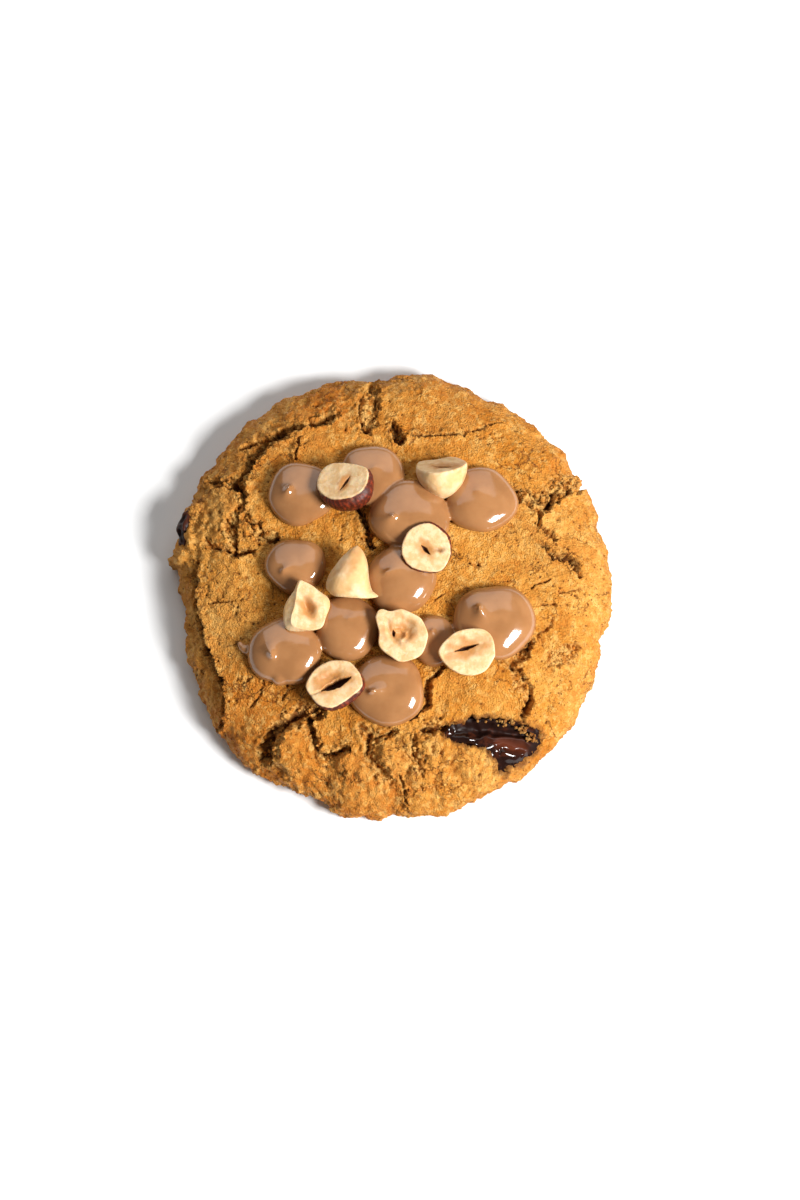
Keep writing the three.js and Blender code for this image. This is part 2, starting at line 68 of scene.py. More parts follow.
# Open cracks: width, depth, and the points each one runs through. A wide one has a more broken
# edge, and room for lumps of crumb.
WIDE_CRACK = 1.7
CRACKS = (
    (4.6, 4.5, ((-6, 52.6), (-7, 45), (-7.5, 39.5))),
    (3.2, 4.0, ((-1, 41.5), (1, 36.5))),
    (0.8, 1.5, ((2, 38.4), (11, 38.7), (19, 39.4), (26, 42.4))),
    (2.2, 3.5, ((-15.5, 43.8), (-23, 40.7), (-31, 38.1), (-36, 32.5), (-39.3, 26), (-38, 20.5))),
    (1.2, 2.0, ((-39.5, 35.8), (-32.5, 38.2))),
    (0.9, 2.0, ((-24, 38), (-25, 32))),
    (2.5, 4.0, ((-46.5, 27.4), (-39, 24.2))),
    (2.2, 4.0, ((-38.5, 21), (-41, 15.5), (-40.3, 8.5))),
    (1.8, 3.0, ((-38, 17), (-34.5, 14), (-34, 12), (-30, 11))),
    (1.6, 2.5, ((-36, 8), (-41, 7.8), (-47.5, 10.8))),
    (4.6, 4.5, ((30, 23), (36, 20.3), (41, 25.2), (47, 27.8))),
    (1.2, 2.5, ((36, 20), (35.7, 15), (40, 11.6))),
    (1.7, 3.0, ((36.5, 9.3), (39.5, 7.2), (43, 7), (45.2, 4.6), (46, 2.6))),
    (2.2, 3.0, ((33.5, -15), (29.5, -20.5), (31, -25), (33, -30), (31.5, -33))),
    (2.6, 2.2, ((37, -20.3), (45, -15.4))),
    (1.4, 2.5, ((12, -21.5), (7.5, -25), (7.5, -31), (3.5, -34.5))),
    (1.6, 2.5, ((0, -37.6), (-5.5, -39.3), (-9, -36.5))),
    (1.5, 2.5, ((-7, -39), (-7, -44))),
    (2.1, 3.2, ((6.2, -37.2), (13.5, -36.2))),
    (4.2, 3.4, ((-17.5, -31.5), (-22.5, -33.2), (-28, -36.2), (-31.8, -40.5), (-33, -43))),
    (1.9, 3.5, ((-21.8, -33.5), (-20.6, -39), (-19.8, -42.4))),
    (1.4, 2.8, ((-19.8, -42.4), (-16.5, -43), (-11, -41.6))),
    (1.2, 1.8, ((4, -38.5), (3.6, -42.5), (5.8, -44.5), (6.2, -47.5))),
    (1.5, 2.0, ((-5.5, -44.5), (-4, -46.5), (-1.5, -48.5))),
    (0.9, 1.1, ((0.5, -49), (2, -51.5), (2.8, -54.5))),
    (1.3, 3.0, ((-49.8, 5.7), (-49.8, -4.5), (-47.5, -14), (-42.5, -26.5), (-43.5, -36))),
    (1.8, 3.0, ((-9.5, 19), (-7, 13), (-6, 8))),
)

# Hair cracks in the crust alone.
HAIR_CRACKS = (
    (0.5, 0.8, ((34.5, 13.5), (32, 11.5), (30, 10.5))),
    (0.45, 0.7, ((17.5, 6.5), (18.5, 4.5), (20, 3.5))),
    (0.45, 0.7, ((8.5, -6), (9.5, -4.2), (12, -3))),
    (0.6, 1.1, ((33, -1.5), (34, 0), (38, 0.5))),
    (0.65, 1.3, ((40.5, -2), (44, -1.3), (46, -1.5))),
    (0.65, 1.3, ((36.5, -5), (39.5, -5.3))),
    (0.7, 1.3, ((38.5, -8), (38.5, -10), (36, -12.5), (35, -14))),
    (0.6, 0.9, ((24, -19), (27, -20), (29, -22))),
    (0.5, 0.8, ((-14, 15), (-14, 12), (-13.5, 11))),
    (0.5, 0.8, ((-47, -4), (-41, -5), (-38, -4.5))),
    (0.5, 0.8, ((-33, -24), (-34, -28), (-36, -31))),
    (0.5, 0.8, ((-38, -25), (-36, -23.5))),
    (0.5, 0.8, ((-28, -29), (-25.5, -27))),
    (0.5, 0.8, ((5, -52), (8, -51), (11, -49.5))),
)

# Plates that stand above their neighbours: height, reach, and the edge they end at, with
# the higher plate on the left of the way the edge runs.
LEDGES = (
    (3.0, 6.0, ((-49.8, 5.7), (-49.8, -4.5), (-47.5, -14), (-42.5, -26.5), (-43.5, -36))),
    (1.6, 5.0, ((-15.5, 43.8), (-23, 40.7), (-31, 38.1), (-36, 32.5), (-39.3, 26), (-38, 20.5))),
    (1.0, 4.0, ((-18, -33), (-27, -35.4), (-31, -42.5))),
    (1.2, 4.0, ((47, 27.8), (41, 25.2), (36, 20), (30, 23))),
)

# Lumps that stand proud of the crust: height, reach, and the line each one follows.
MOUNDS = (
    (2.4, 5.2, ((-27, -40.5), (-25.2, -43.2))),
    (1.8, 1.7, ((-50.0, 20.5), (-51.3, 16), (-51.2, 11))),
    (1.5, 1.6, ((-53.6, 9.2), (-55, 8.4))),
    (1.3, 2.6, ((-2, -43), (-1.2, -46))),
    (1.2, 3.2, ((8.5, -41), (10.5, -45))),
    (1.0, 3.0, ((16, -45.5), (21, -46.5))),
    (1.1, 2.6, ((-12, -45), (-9.5, -47.5))),
)

# Where lumps of crumb are left standing in the cracks: middle, reach and strength.
RUBBLE = (
    ((-40, 12), 9, 1.2), ((-43, 26), 6, 1.0), ((-8, 46), 8, 1.2), ((38, 24), 11, 1.4),
    ((33, -25), 8, 0.8), ((41, -18), 6, 1.0), ((-32, 38), 6, 0.7),
)

# Stretches where the crust is broken up and crumbly: middle, reach and strength.
CRUMBLY = (
    ((3, -46), 9, 0.8), ((14, -47), 9, 0.9), ((22, -43), 6, 0.6), ((-43, 14), 9, 0.6),
    ((-14, 45), 8, 0.5), ((-24, -45), 9, 0.6), ((41, -19), 6, 0.5), ((-3, -40), 6, 0.5),
    ((40, 25), 5, 0.35), ((-51.5, -10), 5, 0.7), ((-50, -22), 5, 0.6), ((-9, -50), 8, 0.6),
    ((-53, 3), 4, 0.5),
)

# Calm stretches where the crust stayed whole: middle, reach and strength.
CALM = (
    ((22, 6), 17, 1.0), ((36, -6), 12, 0.6), ((-42, -10), 11, 0.8), ((14, 44), 15, 0.8),
    ((-30, 12), 10, 0.6), ((20, -28), 11, 0.6), ((42, 12), 9, 0.5), ((-34, -32), 10, 0.5),
)

# Well toasted stretches: middle, reach and strength.
TOASTED = (
    ((-36, -34), 15, 0.55), ((-14, -50), 12, 0.35), ((-17, 46), 7, 0.6), ((-2, -50), 5, 0.4),
    ((-30, 35), 18, 0.3), ((48, 38), 12, 0.25), ((12, 47), 15, 0.35),
)

# Paler, drier stretches, with the two at the left edge painted light where the crust faces away from
# the softbox: middle, reach and strength.
PALE = (
    ((44, 4), 15, 0.3), ((21, -46), 9, 0.5), ((3, -46), 7, 0.5), ((45, -25), 8, 0.3),
    ((36, 16), 10, 0.3), ((-47, -10), 12, 0.6), ((-10, -46), 9, 0.3), ((-46, 20), 11, 0.6),
    ((-34, 40), 9, 0.4),
)

# The edge of the pocket that the chunk of chocolate at the front melted into.
CHUNK_OUTLINE = (
    (12.5, -38), (14.8, -35.6), (19, -34.3), (28.5, -34.2), (32.3, -34.8), (35, -36.6),
    (35.6, -39.4), (34.4, -42), (32, -43.8), (28.5, -45.2), (25.4, -46.4), (24.8, -44.2),
    (22.3, -41.2), (19, -40.1), (15.4, -40.3),
)

# The drops of cream on top, which hide the crust: each one's middle, width, length, height,
# and its tip (place from the middle, rise, width, and the way it trails off and how far).
DROPS = (
    (3.4, 16.7, 20.2, 18.2, 5.6, (-4.3, -1.6, 1.4, 1.7, 200, 4.5)),
    (24.5, -10.3, 20.6, 18.6, 5.4, (-4.0, 2.2, 1.8, 1.9, 290, 4.5)),
    (-23.7, 22.6, 17, 16.4, 4.6, (-2.9, 0.6, 2.1, 1.5, 235, 4.0)),
    (1.2, 0, 17.2, 17.2, 5.4, (-3.6, 0.9, 1.3, 1.5, 20, 5.5)),
    (-6, 27.3, 16, 16, 4.4, (0.5, 1, 0.4, 1.8, 0, 3.0)),
    (-27.5, -17.8, 18.4, 17, 5.2, (-3.1, -1.9, 2.1, 1.4, 120, 4.0)),
    (-2.1, -27.6, 18.6, 18, 5.2, (-4.0, -1.2, 1.7, 1.3, 10, 6.0)),
    (-12, -12, 16, 16.6, 5.2, (0.5, 1.5, 0.5, 1.8, 0, 3.0)),
    (-25, 4, 15.4, 14, 5, (-3.0, -2.2, 1.1, 1.6, 35, 5.0)),
    (21.3, 20.9, 18, 17, 4.8, (-1, 1.5, 0.4, 1.8, 330, 4.0)),
    (9.5, -15.3, 11, 13, 4.2, (-0.5, 2, 0.9, 1.3, 260, 3.0)),
)
# How much of a drop's width surely hides the crust, which keeps its coarse mesh there.
COVER_SHARE = 0.42
POCKET_DEPTH = 3.4
PIT_COUNT = 340
PIT_SEED = 11
PIT_REACH = 52
PIT_DEPTH = 0.7
# How near to a crack's edge the mesh is at its finest.
FINE_MARGIN = 1.1
# How far the two random patterns are moved off the corner of their lattice.
GRAIN_SHIFT = 37.7
LUMP_SHIFT = 51.3


def smooth_step(value, low, high):
    """0 below low, 1 above high, and an even change between them."""
    share = np.clip((value - low) / (high - low), 0, 1)
    return share * share * (3 - 2 * share)


def hash_triple(cell, seed):
    """Three repeatable numbers from 0 to 1 for each cell of a lattice."""
    mixed = (cell[:, 0] * 73856093) ^ (cell[:, 1] * 19349663) ^ (cell[:, 2] * 83492791)
    mixed = (mixed ^ (seed * 2654435761)) & 0xFFFFFFFF
    mixed = ((mixed ^ (mixed >> 15)) * 2246822519) & 0xFFFFFFFF
    mixed = ((mixed ^ (mixed >> 13)) * 3266489917) & 0xFFFFFFFF
    return np.stack([((mixed >> shift) & 1023) / 1023 for shift in (0, 10, 20)], axis=1)


def grain(points, size, seed):
    """Soft random swells, about -0.7 to 0.7, as wide as size."""
    place = points / size + GRAIN_SHIFT
    cell = np.floor(place).astype(np.int64)
    local = place - cell
    fade = local ** 3 * (local * (local * 6 - 15) + 10)
    total = np.zeros(len(points))
    for corner in np.ndindex(2, 2, 2):
        slope = hash_triple(cell + corner, seed) * 2 - 1
        weight = np.prod(np.where(corner, fade, 1 - fade), axis=1)
        total += weight * np.sum(slope * (local - corner), axis=1)
    return total


def nearest_lump(points, size, seed):
    """The middle of the lump each point lies in, how far off it is, and the lump's number."""
    place = points / size + LUMP_SHIFT
    cell = np.floor(place).astype(np.int64)
    nearest = np.full(len(points), 9.0)
    centre = place.copy()
    number = np.zeros(len(points))
    for step in np.ndindex(3, 3, 3):
        neighbour = cell + np.array(step) - 1
        draws = hash_triple(neighbour, seed)
        middle = neighbour + draws
        distance = np.sum((middle - place) ** 2, axis=1)
        nearer = distance < nearest
        nearest = np.where(nearer, distance, nearest)
        centre = np.where(nearer[:, None], middle, centre)
        number = np.where(nearer, draws[:, 0], number)
    return (centre - LUMP_SHIFT) * size, nearest, number


def lumps(points, size, seed):
    """Round lumps as wide as size: 1 at the top of each one, 0 in the creases."""
    return np.clip(1 - nearest_lump(points, size, seed)[1] * 1.3, 0, 1)


def outline_radius(angle):
    """The reach of the outline in each direction."""
    degrees = np.degrees(angle)
    radius = np.full_like(angle, RADIUS)
    for at, size, spread in BULGES:
        turn = np.abs((degrees - at + 540) % 360 - 180)
        radius += size * np.exp(-0.5 * (turn / spread) ** 2)
    wobble = 0.25 * np.sin(11 * angle + 1) + 0.2 * np.sin(23 * angle + 4)
    return radius + wobble + 0.2 * np.sin(37 * angle)


def swell(x, y):
    """The broad rises and dips of the top."""
    broad = 0.55 * np.sin(x / 8.5 + 1.3) * np.sin(y / 10 + 0.4)
    return broad + 0.35 * np.sin((x + y) / 5.6 + 2) * np.sin((x - y) / 6.8 + 0.7)


def dome_height(x, y):
    """The height of the smooth dough at a place."""
    share = np.minimum(1, np.hypot(x, y) / outline_radius(np.arctan2(y, x)))
    rise = np.sqrt(1 - share ** SHOULDER)
    return RIM_HEIGHT + (DOME_HEIGHT + swell(x, y)) * rise


def along_route(x, y, route):
    """Distance to a route of straight runs, the share of the route passed, and the side."""
    away = np.full_like(x, 1e9)
    passed = np.zeros_like(x)
    side = np.ones_like(x)
    for i in range(len(route) - 1):
        (ax, ay), (bx, by) = route[i], route[i + 1]
        run_x, run_y = bx - ax, by - ay
        share = np.clip(((x - ax) * run_x + (y - ay) * run_y) / (run_x ** 2 + run_y ** 2), 0, 1)
        distance = np.hypot(x - ax - share * run_x, y - ay - share * run_y)
        nearer = distance < away
        away = np.where(nearer, distance, away)
        passed = np.where(nearer, (i + share) / (len(route) - 1), passed)
        side = np.where(nearer, np.sign(run_x * (y - ay) - run_y * (x - ax)), side)
    return away, passed, side


def distance_inside(x, y, outline):
    """Distance to a closed outline, positive inside it."""
    away = np.full_like(x, 1e9)
    inside = np.zeros(len(x), bool)
    for (ax, ay), (bx, by) in zip(outline, outline[1:] + outline[:1]):
        away = np.minimum(away, along_route(x, y, ((ax, ay), (bx, by)))[0])
        if ay != by:
            crosses = (ay > y) != (by > y)
            inside ^= crosses & (x < ax + (y - ay) / (by - ay) * (bx - ax))
    return np.where(inside, away, -away)


def patches(x, y, spots):
    """0 to 1, strongest at the middle of each listed patch."""
    total = np.zeros_like(x)
    for (at_x, at_y), reach, strength in spots:
        total += strength * np.exp(-((x - at_x) ** 2 + (y - at_y) ** 2) / reach ** 2)
    return np.clip(total, 0, 1)


def crack_openings(points):
    """Each point moved to a ragged place, how far it lies inside a crack, the depth there, room
    for lumps, and the margin to the nearest crack."""
    coarse = nearest_lump(points, 1.8, 61)[0] - points
    fine = nearest_lump(points, 0.8, 62)[0] - points
    bend = np.stack([grain(points, 5.0, 1), grain(points, 5.0, 4), 0 * points[:, 0]], axis=1)
    bend += 0.5 * np.stack([grain(points, 2.0, 2), grain(points, 2.0, 5), 0 * points[:, 0]], axis=1)
    broken = points + 1.3 * bend + 0.5 * coarse + 0.35 * fine
    crisp = points + 1.3 * bend + 0.25 * coarse + 0.45 * fine
    uneven = 1 + 0.7 * grain(points, 3.2, 19)
    inside = np.full(len(points), -99.0)
    depth, room = np.zeros(len(points)), np.zeros(len(points))
    margin = np.full(len(points), 99.0)
    for wide, deep, route in CRACKS:
        at = broken if wide > WIDE_CRACK else crisp
        away, passed, _ = along_route(at[:, 0], at[:, 1], route)
        half = wide / 2 * uneven * (0.45 + 0.55 * np.sin(np.pi * passed) ** 0.5)
        here = half - away
        opened = smooth_step(here, -0.1, 0.2)
        floor = deep * (0.5 + 0.5 * np.clip(here / half, 0, 1) ** 0.7)
        inside = np.maximum(inside, here)
        depth = np.maximum(depth, opened * floor)
        room = np.maximum(room, smooth_step(here, 0.1, 0.6) * (wide > WIDE_CRACK))
        margin = np.minimum(margin, away - half + max(0, 1.5 - wide))
    for wide, deep, route in HAIR_CRACKS:
        away, passed, _ = along_route(crisp[:, 0], crisp[:, 1], route)
        here = wide / 2 * uneven - away
        inside = np.maximum(inside, here)
        depth = np.maximum(depth, deep * smooth_step(here, -0.15, 0.15))
    return broken, inside, depth, room, margin


def dough_relief(points):
    """How far the dough stands out from its smooth form, and what shows at each place."""
    x, y, z = points.T
    broken, inside, depth, room, margin = crack_openings(points)
    crumbly = patches(x, y, CRUMBLY)
    flank = 1 - smooth_step(z, 4.0, 9.5)
    bend = points + 0.8 * grain(points, 2, 25)[:, None]
    _, _, plate = nearest_lump(bend, 3.4, 63)
    _, _, flake = nearest_lump(bend, 1.4, 64)
    big, small = lumps(bend, 3.4, 9), lumps(bend, 1.25, 10)
    # Where the crust is missing: along the cracks, in crumbly patches and under the chocolate.
    missing = 0.1 + plate * smooth_step(grain(points, 6, 7), -0.25, 0.35) + 0.5 * crumbly
    skin = smooth_step(margin - missing, -0.05, 0.15)
    patchy = 0.3 * crumbly + 0.9 * grain(broken, 4.2, 8) + 0.5 * grain(broken, 1.6, 18)
    skin *= 1 - smooth_step(patchy, 0.55, 0.6)
    in_pocket = distance_inside(broken[:, 0], broken[:, 1], CHUNK_OUTLINE)
    pocket = smooth_step(in_pocket, -0.5, 0.3)
    opening = smooth_step(inside, -0.1, 0.2)
    bare = np.maximum(np.maximum(opening, 1 - skin), pocket)
    # The cracks, with lumps of crumb left standing in the wide ones.
    rubble = room * np.maximum(0.1, patches(x, y, RUBBLE))
    relief = -depth * (1 - 0.8 * rubble * smooth_step(big, 0.15, 0.6))
    relief -= 0.6 * (1 - skin) * (1 - opening) + POCKET_DEPTH * pocket
    relief += bare * (0.8 * big + 0.7 * small + 0.8 * grain(points, 1.7, 29) - 0.85)
    # The crust: wrinkles, and thin flakes and plates that stand at different heights.
    fine = 0.26 * grain(points, 1.5, 11) + 0.16 * grain(points, 0.8, 12)
    fine += 0.16 * lumps(bend, 2.1, 26) - 0.07
    ridges = 0.2 * (1 - 4 * np.abs(grain(points, 1.7, 13))).clip(0, 1)
    broken_up = smooth_step(grain(points, 8, 23) + 1.2 * crumbly + 0.8 * flank, -0.2, 0.35)
    steps = broken_up * (0.55 * (plate - 0.5) + (0.5 - 0.3 * flank) * (flake - 0.5))
    steps += 0.3 * (1 - broken_up) * smooth_step(flake, 0.8, 0.86)
    knobs = 1.5 * lumps(bend, 4.4, 27) + 0.9 * small + 0.7 * grain(points, 3.1, 15) - 1.0
    rough_side = 1.0 * lumps(bend, 4.6, 16) - 0.5 + 0.9 * grain(points, 6, 17)
    rough_side += 0.5 * grain(points, 1.8, 28) + 0.45 * grain(points, 1.0, 31)
    calm = 1 - 0.45 * patches(x, y, CALM)
    texture = (1 - bare) * calm * (fine + ridges + steps) + crumbly * knobs + flank * rough_side
    relief += texture + 0.4 * grain(points, 7, 14) + 0.24 * grain(points, 3.3, 24)
    relief += 0.5 * np.exp(-(margin / 1.3) ** 2) * skin
    for height, reach, route in MOUNDS:
        away = along_route(broken[:, 0], broken[:, 1], route)[0]
        relief += height * smooth_step(away, reach, 0.35 * reach)
    for height, reach, route in LEDGES:
        away, passed, side = along_route(broken[:, 0], broken[:, 1], route)
        relief += 0.5 * height * side * np.exp(-away / reach) * np.sin(np.pi * passed) ** 0.5
    pits = np.zeros_like(x)
    for at_x, at_y, size in pit_places():
        pits = np.maximum(pits, 1 - smooth_step(np.hypot(x - at_x, y - at_y), 0.3 * size, size))
    relief -= pits * PIT_DEPTH
    # deep: painted shade, darker the lower the surface lies in a crack, a pit or the chocolate's
    # pocket.
    deep = np.clip(smooth_step(-relief, 0.8, 3.0) * (1 - 0.15 * room) + 0.9 * pits, 0, 1)
    # Painted shade: the low places of the crust's texture are painted browner, along with the real
    # toasting of the listed patches and the flank.
    low = smooth_step(-texture, -0.05, 0.4)
    toast = np.clip(patches(x, y, TOASTED) + 0.3 * flank + 0.3 * low, 0, 1)
    smear = smooth_step(in_pocket + 1.2 * grain(points, 1.6, 30), -1.5, -0.1)
    return relief * smooth_step(z, 0.0, 1.6), bare, deep, toast, smear


def pit_places():
    """Small holes where air broke through the crust."""
    draw = np.random.default_rng(PIT_SEED)
    angle = draw.uniform(0, 2 * math.pi, PIT_COUNT)
    radius = PIT_REACH * np.sqrt(draw.uniform(0, 1, PIT_COUNT))
    size = draw.uniform(0.25, 0.6, PIT_COUNT)
    return np.stack([radius * np.cos(angle), radius * np.sin(angle), size], axis=1)


def profile_run():
    """The dome's profile as shares of the radius and the length of curve up to each."""
    share = 1 - (1 - np.linspace(0, 1, 4001)) ** 2
    height = DOME_HEIGHT * np.sqrt(1 - share ** SHOULDER)
    steps = np.hypot(np.diff(share) * RADIUS, np.diff(height))
    return share, np.concatenate([[0], np.cumsum(steps)])


def dough_place(flat):
    """Takes a point of the flat pattern (curve length outward, by direction) onto the dough."""
    share_steps, run_steps = profile_run()
    run = np.hypot(flat[:, 0], flat[:, 1])
    angle = np.arctan2(flat[:, 1], flat[:, 0])
    down = np.clip((run - run_steps[-1]) / FLANK_RUN, 0, 1)
    share = np.interp(run, run_steps, share_steps)
    radius = share * (1 - (1 - FOOT_SHARE) * down ** 3) * outline_radius(angle)
    x, y = radius * np.cos(angle), radius * np.sin(angle)
    height = np.where(down > 0, RIM_HEIGHT * (1 - down), dome_height(x, y))
    return np.column_stack([x, y, height])


def ring_pattern():
    """A flat disc of near-even triangles, ring by ring, six more in each ring outward."""
    reach = profile_run()[1][-1] + FLANK_RUN
    rings = round(reach / COARSE_CELL)
    points, faces, starts = [(0.0, 0.0)], [], [0]
    for ring in range(1, rings + 1):
        starts.append(len(points))
        count = 6 * ring
        radius = reach * ring / rings
        for n in range(count):
            turn = 2 * math.pi * n / count
            points.append((radius * math.cos(turn), radius * math.sin(turn)))
        inner_count = max(1, 6 * (ring - 1))
        for sector in range(6):
            for n in range(ring):
                outer = starts[ring] + sector * ring + n
                after = starts[ring] + (sector * ring + n + 1) % count
                inner = starts[ring - 1] + (sector * (ring - 1) + n) % inner_count
                faces.append((inner, outer, after))
                if n < ring - 1:
                    beside = starts[ring - 1] + (sector * (ring - 1) + n + 1) % inner_count
                    faces.append((inner, after, beside))
    return np.array(points), np.array(faces)


def split_triangles(points, faces, chosen):
    """Halves every edge of the chosen triangles, and fits their neighbours to match."""
    pairs = np.stack([faces, np.roll(faces, -1, axis=1)], axis=2)
    keys, which = np.unique(np.sort(pairs.reshape(-1, 2), axis=1), axis=0, return_inverse=True)
    which = which.reshape(-1, 3)
    cut = np.zeros(len(keys), bool)
    cut[which[chosen].ravel()] = True
    number = np.full(len(keys), -1)
    number[cut] = len(points) + np.arange(cut.sum())
    points = np.concatenate([points, points[keys[cut]].mean(axis=1)])
    halves = number[which]
    cuts = (halves >= 0).sum(axis=1)
    result = [faces[cuts == 0]]
    a, b, c = faces[cuts == 3].T
    ab, bc, ca = halves[cuts == 3].T
    result += [np.stack(t, 1) for t in ((a, ab, ca), (ab, b, bc), (ca, bc, c), (ab, bc, ca))]
    for turn in range(3):
        order = [turn, (turn + 1) % 3, (turn + 2) % 3]
        one = (cuts == 1) & (halves[:, turn] >= 0)
        a, b, c = faces[one][:, order].T
        result += [np.stack(t, 1) for t in ((a, halves[one, turn], c), (halves[one, turn], b, c))]
        two = (cuts == 2) & (halves[:, order[2]] < 0)
        a, b, c = faces[two][:, order].T
        ab, bc = halves[two, turn], halves[two, order[1]]
        result += [np.stack(t, 1) for t in ((a, ab, bc), (ab, b, bc), (a, bc, c))]
    return points, np.concatenate(result)


def covered(x, y):
    """Whether cream hides the crust at a place."""
    hidden = np.zeros(len(x), bool)
    for at_x, at_y, wide, long, *_ in DROPS:
        hidden |= np.hypot((x - at_x) / wide, (y - at_y) / long) < COVER_SHARE
    return hidden


def dough_form():
    """Corners and faces of the smooth dough, finest at the cracks, before its relief."""
    flat, faces = ring_pattern()
    for level in (0, 1):
        middle = dough_place(flat[faces].mean(axis=1))
        chosen = ~covered(middle[:, 0], middle[:, 1])
        if level:
            _, inside, _, _, margin = crack_openings(middle)
            edges = np.abs(inside) < FINE_MARGIN
            chosen &= edges | (inside > 0) | (np.abs(margin) < 0.5)
            size = np.ptp(flat[faces], axis=1).max(axis=1)
            chosen &= size < COARSE_CELL * 0.75
        flat, faces = split_triangles(flat, faces, chosen)
    reach = np.hypot(flat[:, 0], flat[:, 1])
    rim = np.nonzero(reach > reach.max() - 0.02 * COARSE_CELL)[0]
    rim = rim[np.argsort(np.arctan2(flat[rim, 1], flat[rim, 0]))]
    rings = [dough_place(flat)]
    loop = rings[0][rim]
    count = len(flat)
    faces = faces.tolist()
    upper = rim
    for share in BASE_SHARES:
        lower = np.arange(count, count + len(rim))
        quads = np.stack([upper, lower, np.roll(lower, -1), np.roll(upper, -1)], axis=1)
        faces += quads.tolist()
        rings.append(loop * (share, share, 0))
        upper, count = lower, count + len(rim)
    rings.append(np.zeros((1, 3)))
    faces += [(a, count, b) for a, b in zip(upper.tolist(), np.roll(upper, -1).tolist())]
    return np.concatenate(rings), faces


def new_piece(name, points, faces):
    """A smooth-shaded mesh object from corners in millimetres from the cookie's middle."""
    mesh = bpy.data.meshes.new(name)
    mesh.from_pydata((np.asarray(points) - MIDDLE) * MM, [], faces)
    mesh.shade_smooth()
    piece = bpy.data.objects.new(name, mesh)
    bpy.context.scene.collection.objects.link(piece)
    return piece


def paint(piece, **fields):
    """Stores a number for each corner, for the material to read."""
    for name, values in fields.items():
        field = piece.data.attributes.new(name, "FLOAT", "POINT")
        field.data.foreach_set("value", np.asarray(values, np.float32))


dough_points, dough_faces = dough_form()
dough = new_piece("cookie_dough", dough_points, dough_faces)
dough_normals = np.zeros(len(dough_points) * 3)
dough.data.vertices.foreach_get("normal", dough_normals)
dough_normals = dough_normals.reshape(-1, 3)
relief, open_crumb, deep, toast, smear = dough_relief(dough_points)
dough_surface = dough_points + dough_normals * relief[:, None]
dough.data.vertices.foreach_set("co", ((dough_surface - MIDDLE) * MM).ravel())
dough.data.update()
# Paler, drier patches, and painted light on the left side.
pale = patches(dough_surface[:, 0], dough_surface[:, 1], PALE)
paint(dough, crumb=open_crumb, deep=deep, toast=toast, pale=pale, smear=smear)


def feed(tree, node, **inputs):
    """Sets a node's inputs; each is a value, or a socket to link. _0 is the first by place."""
    for name, value in inputs.items():
        socket = node.inputs[int(name[1:]) if name[0] == "_" else name.replace("_", " ")]
        if isinstance(value, bpy.types.NodeSocket):
            tree.links.new(value, socket)
        else:
            socket.default_value = value


def add_node(tree, kind, settings=None, **inputs):
    """A shader node with its settings and inputs."""
    node = tree.nodes.new(kind)
    for name, value in (settings or {}).items():
        setattr(node, name, value)
    feed(tree, node, **inputs)
    return node


def mix_colour(tree, share, first, second):
    """The first colour, with the second laid over it by a share from 0 to 1."""
    node = add_node(tree, "ShaderNodeMix", {"data_type": "RGBA"}, _0=share, _6=first, _7=second)
    return node.outputs[2]


def mask_from(tree, value, low, high, start=0.0, end=1.0):
    """The start below low, the end above high, and an even change between them."""
    node = add_node(tree, "ShaderNodeMapRange", {"interpolation_type": "SMOOTHSTEP"},
                    Value=value, From_Min=low, From_Max=high, To_Min=start, To_Max=end)
    return node.outputs["Result"]


def calculate(tree, operation, first, second):
    return add_node(tree, "ShaderNodeMath", {"operation": operation}, _0=first, _1=second).outputs[0]


def read_field(tree, name):
    """The number that paint() stored for each corner."""
    return add_node(tree, "ShaderNodeAttribute", {"attribute_name": name}).outputs["Fac"]


def metre_noise(tree, size_mm, detail=2.0, roughness=0.5):
    """Noise in the object's own space, with swells of a size in millimetres."""
    place = add_node(tree, "ShaderNodeTexCoord").outputs["Object"]
    return add_node(tree, "ShaderNodeTexNoise", Vector=place, Scale=1 / (size_mm * MM),
                    Detail=detail, Roughness=roughness).outputs["Fac"]


def new_material(name):
    """A material with its Principled shader, ready for its nodes."""
    material = bpy.data.materials.new(name)
    material.use_nodes = True
    return material, material.node_tree, material.node_tree.nodes["Principled BSDF"]


def new_group(name, size_name, outputs):
    """A node group with one size in millimetres going in, and its outputs by name."""
    group = bpy.data.node_groups.new(name, "ShaderNodeTree")
    group.interface.new_socket(size_name, in_out="INPUT", socket_type="NodeSocketFloat")
    for output in outputs:
        group.interface.new_socket(output, in_out="OUTPUT", socket_type="NodeSocketFloat")
    size = group.nodes.new("NodeGroupInput").outputs[size_name]
    place = add_node(group, "ShaderNodeTexCoord").outputs["Object"]
    return group, size, place, group.nodes.new("NodeGroupOutput")


def pushed_aside(group, place, noise, reach):
    """A place moved by a noise, so that the edges of a pattern run ragged."""
    push = add_node(group, "ShaderNodeVectorMath", {"operation": "SCALE"}, _0=noise, Scale=reach)
    return add_node(group, "ShaderNodeVectorMath", {"operation": "ADD"},
                    _0=place, _1=push.outputs[0]).outputs[0]


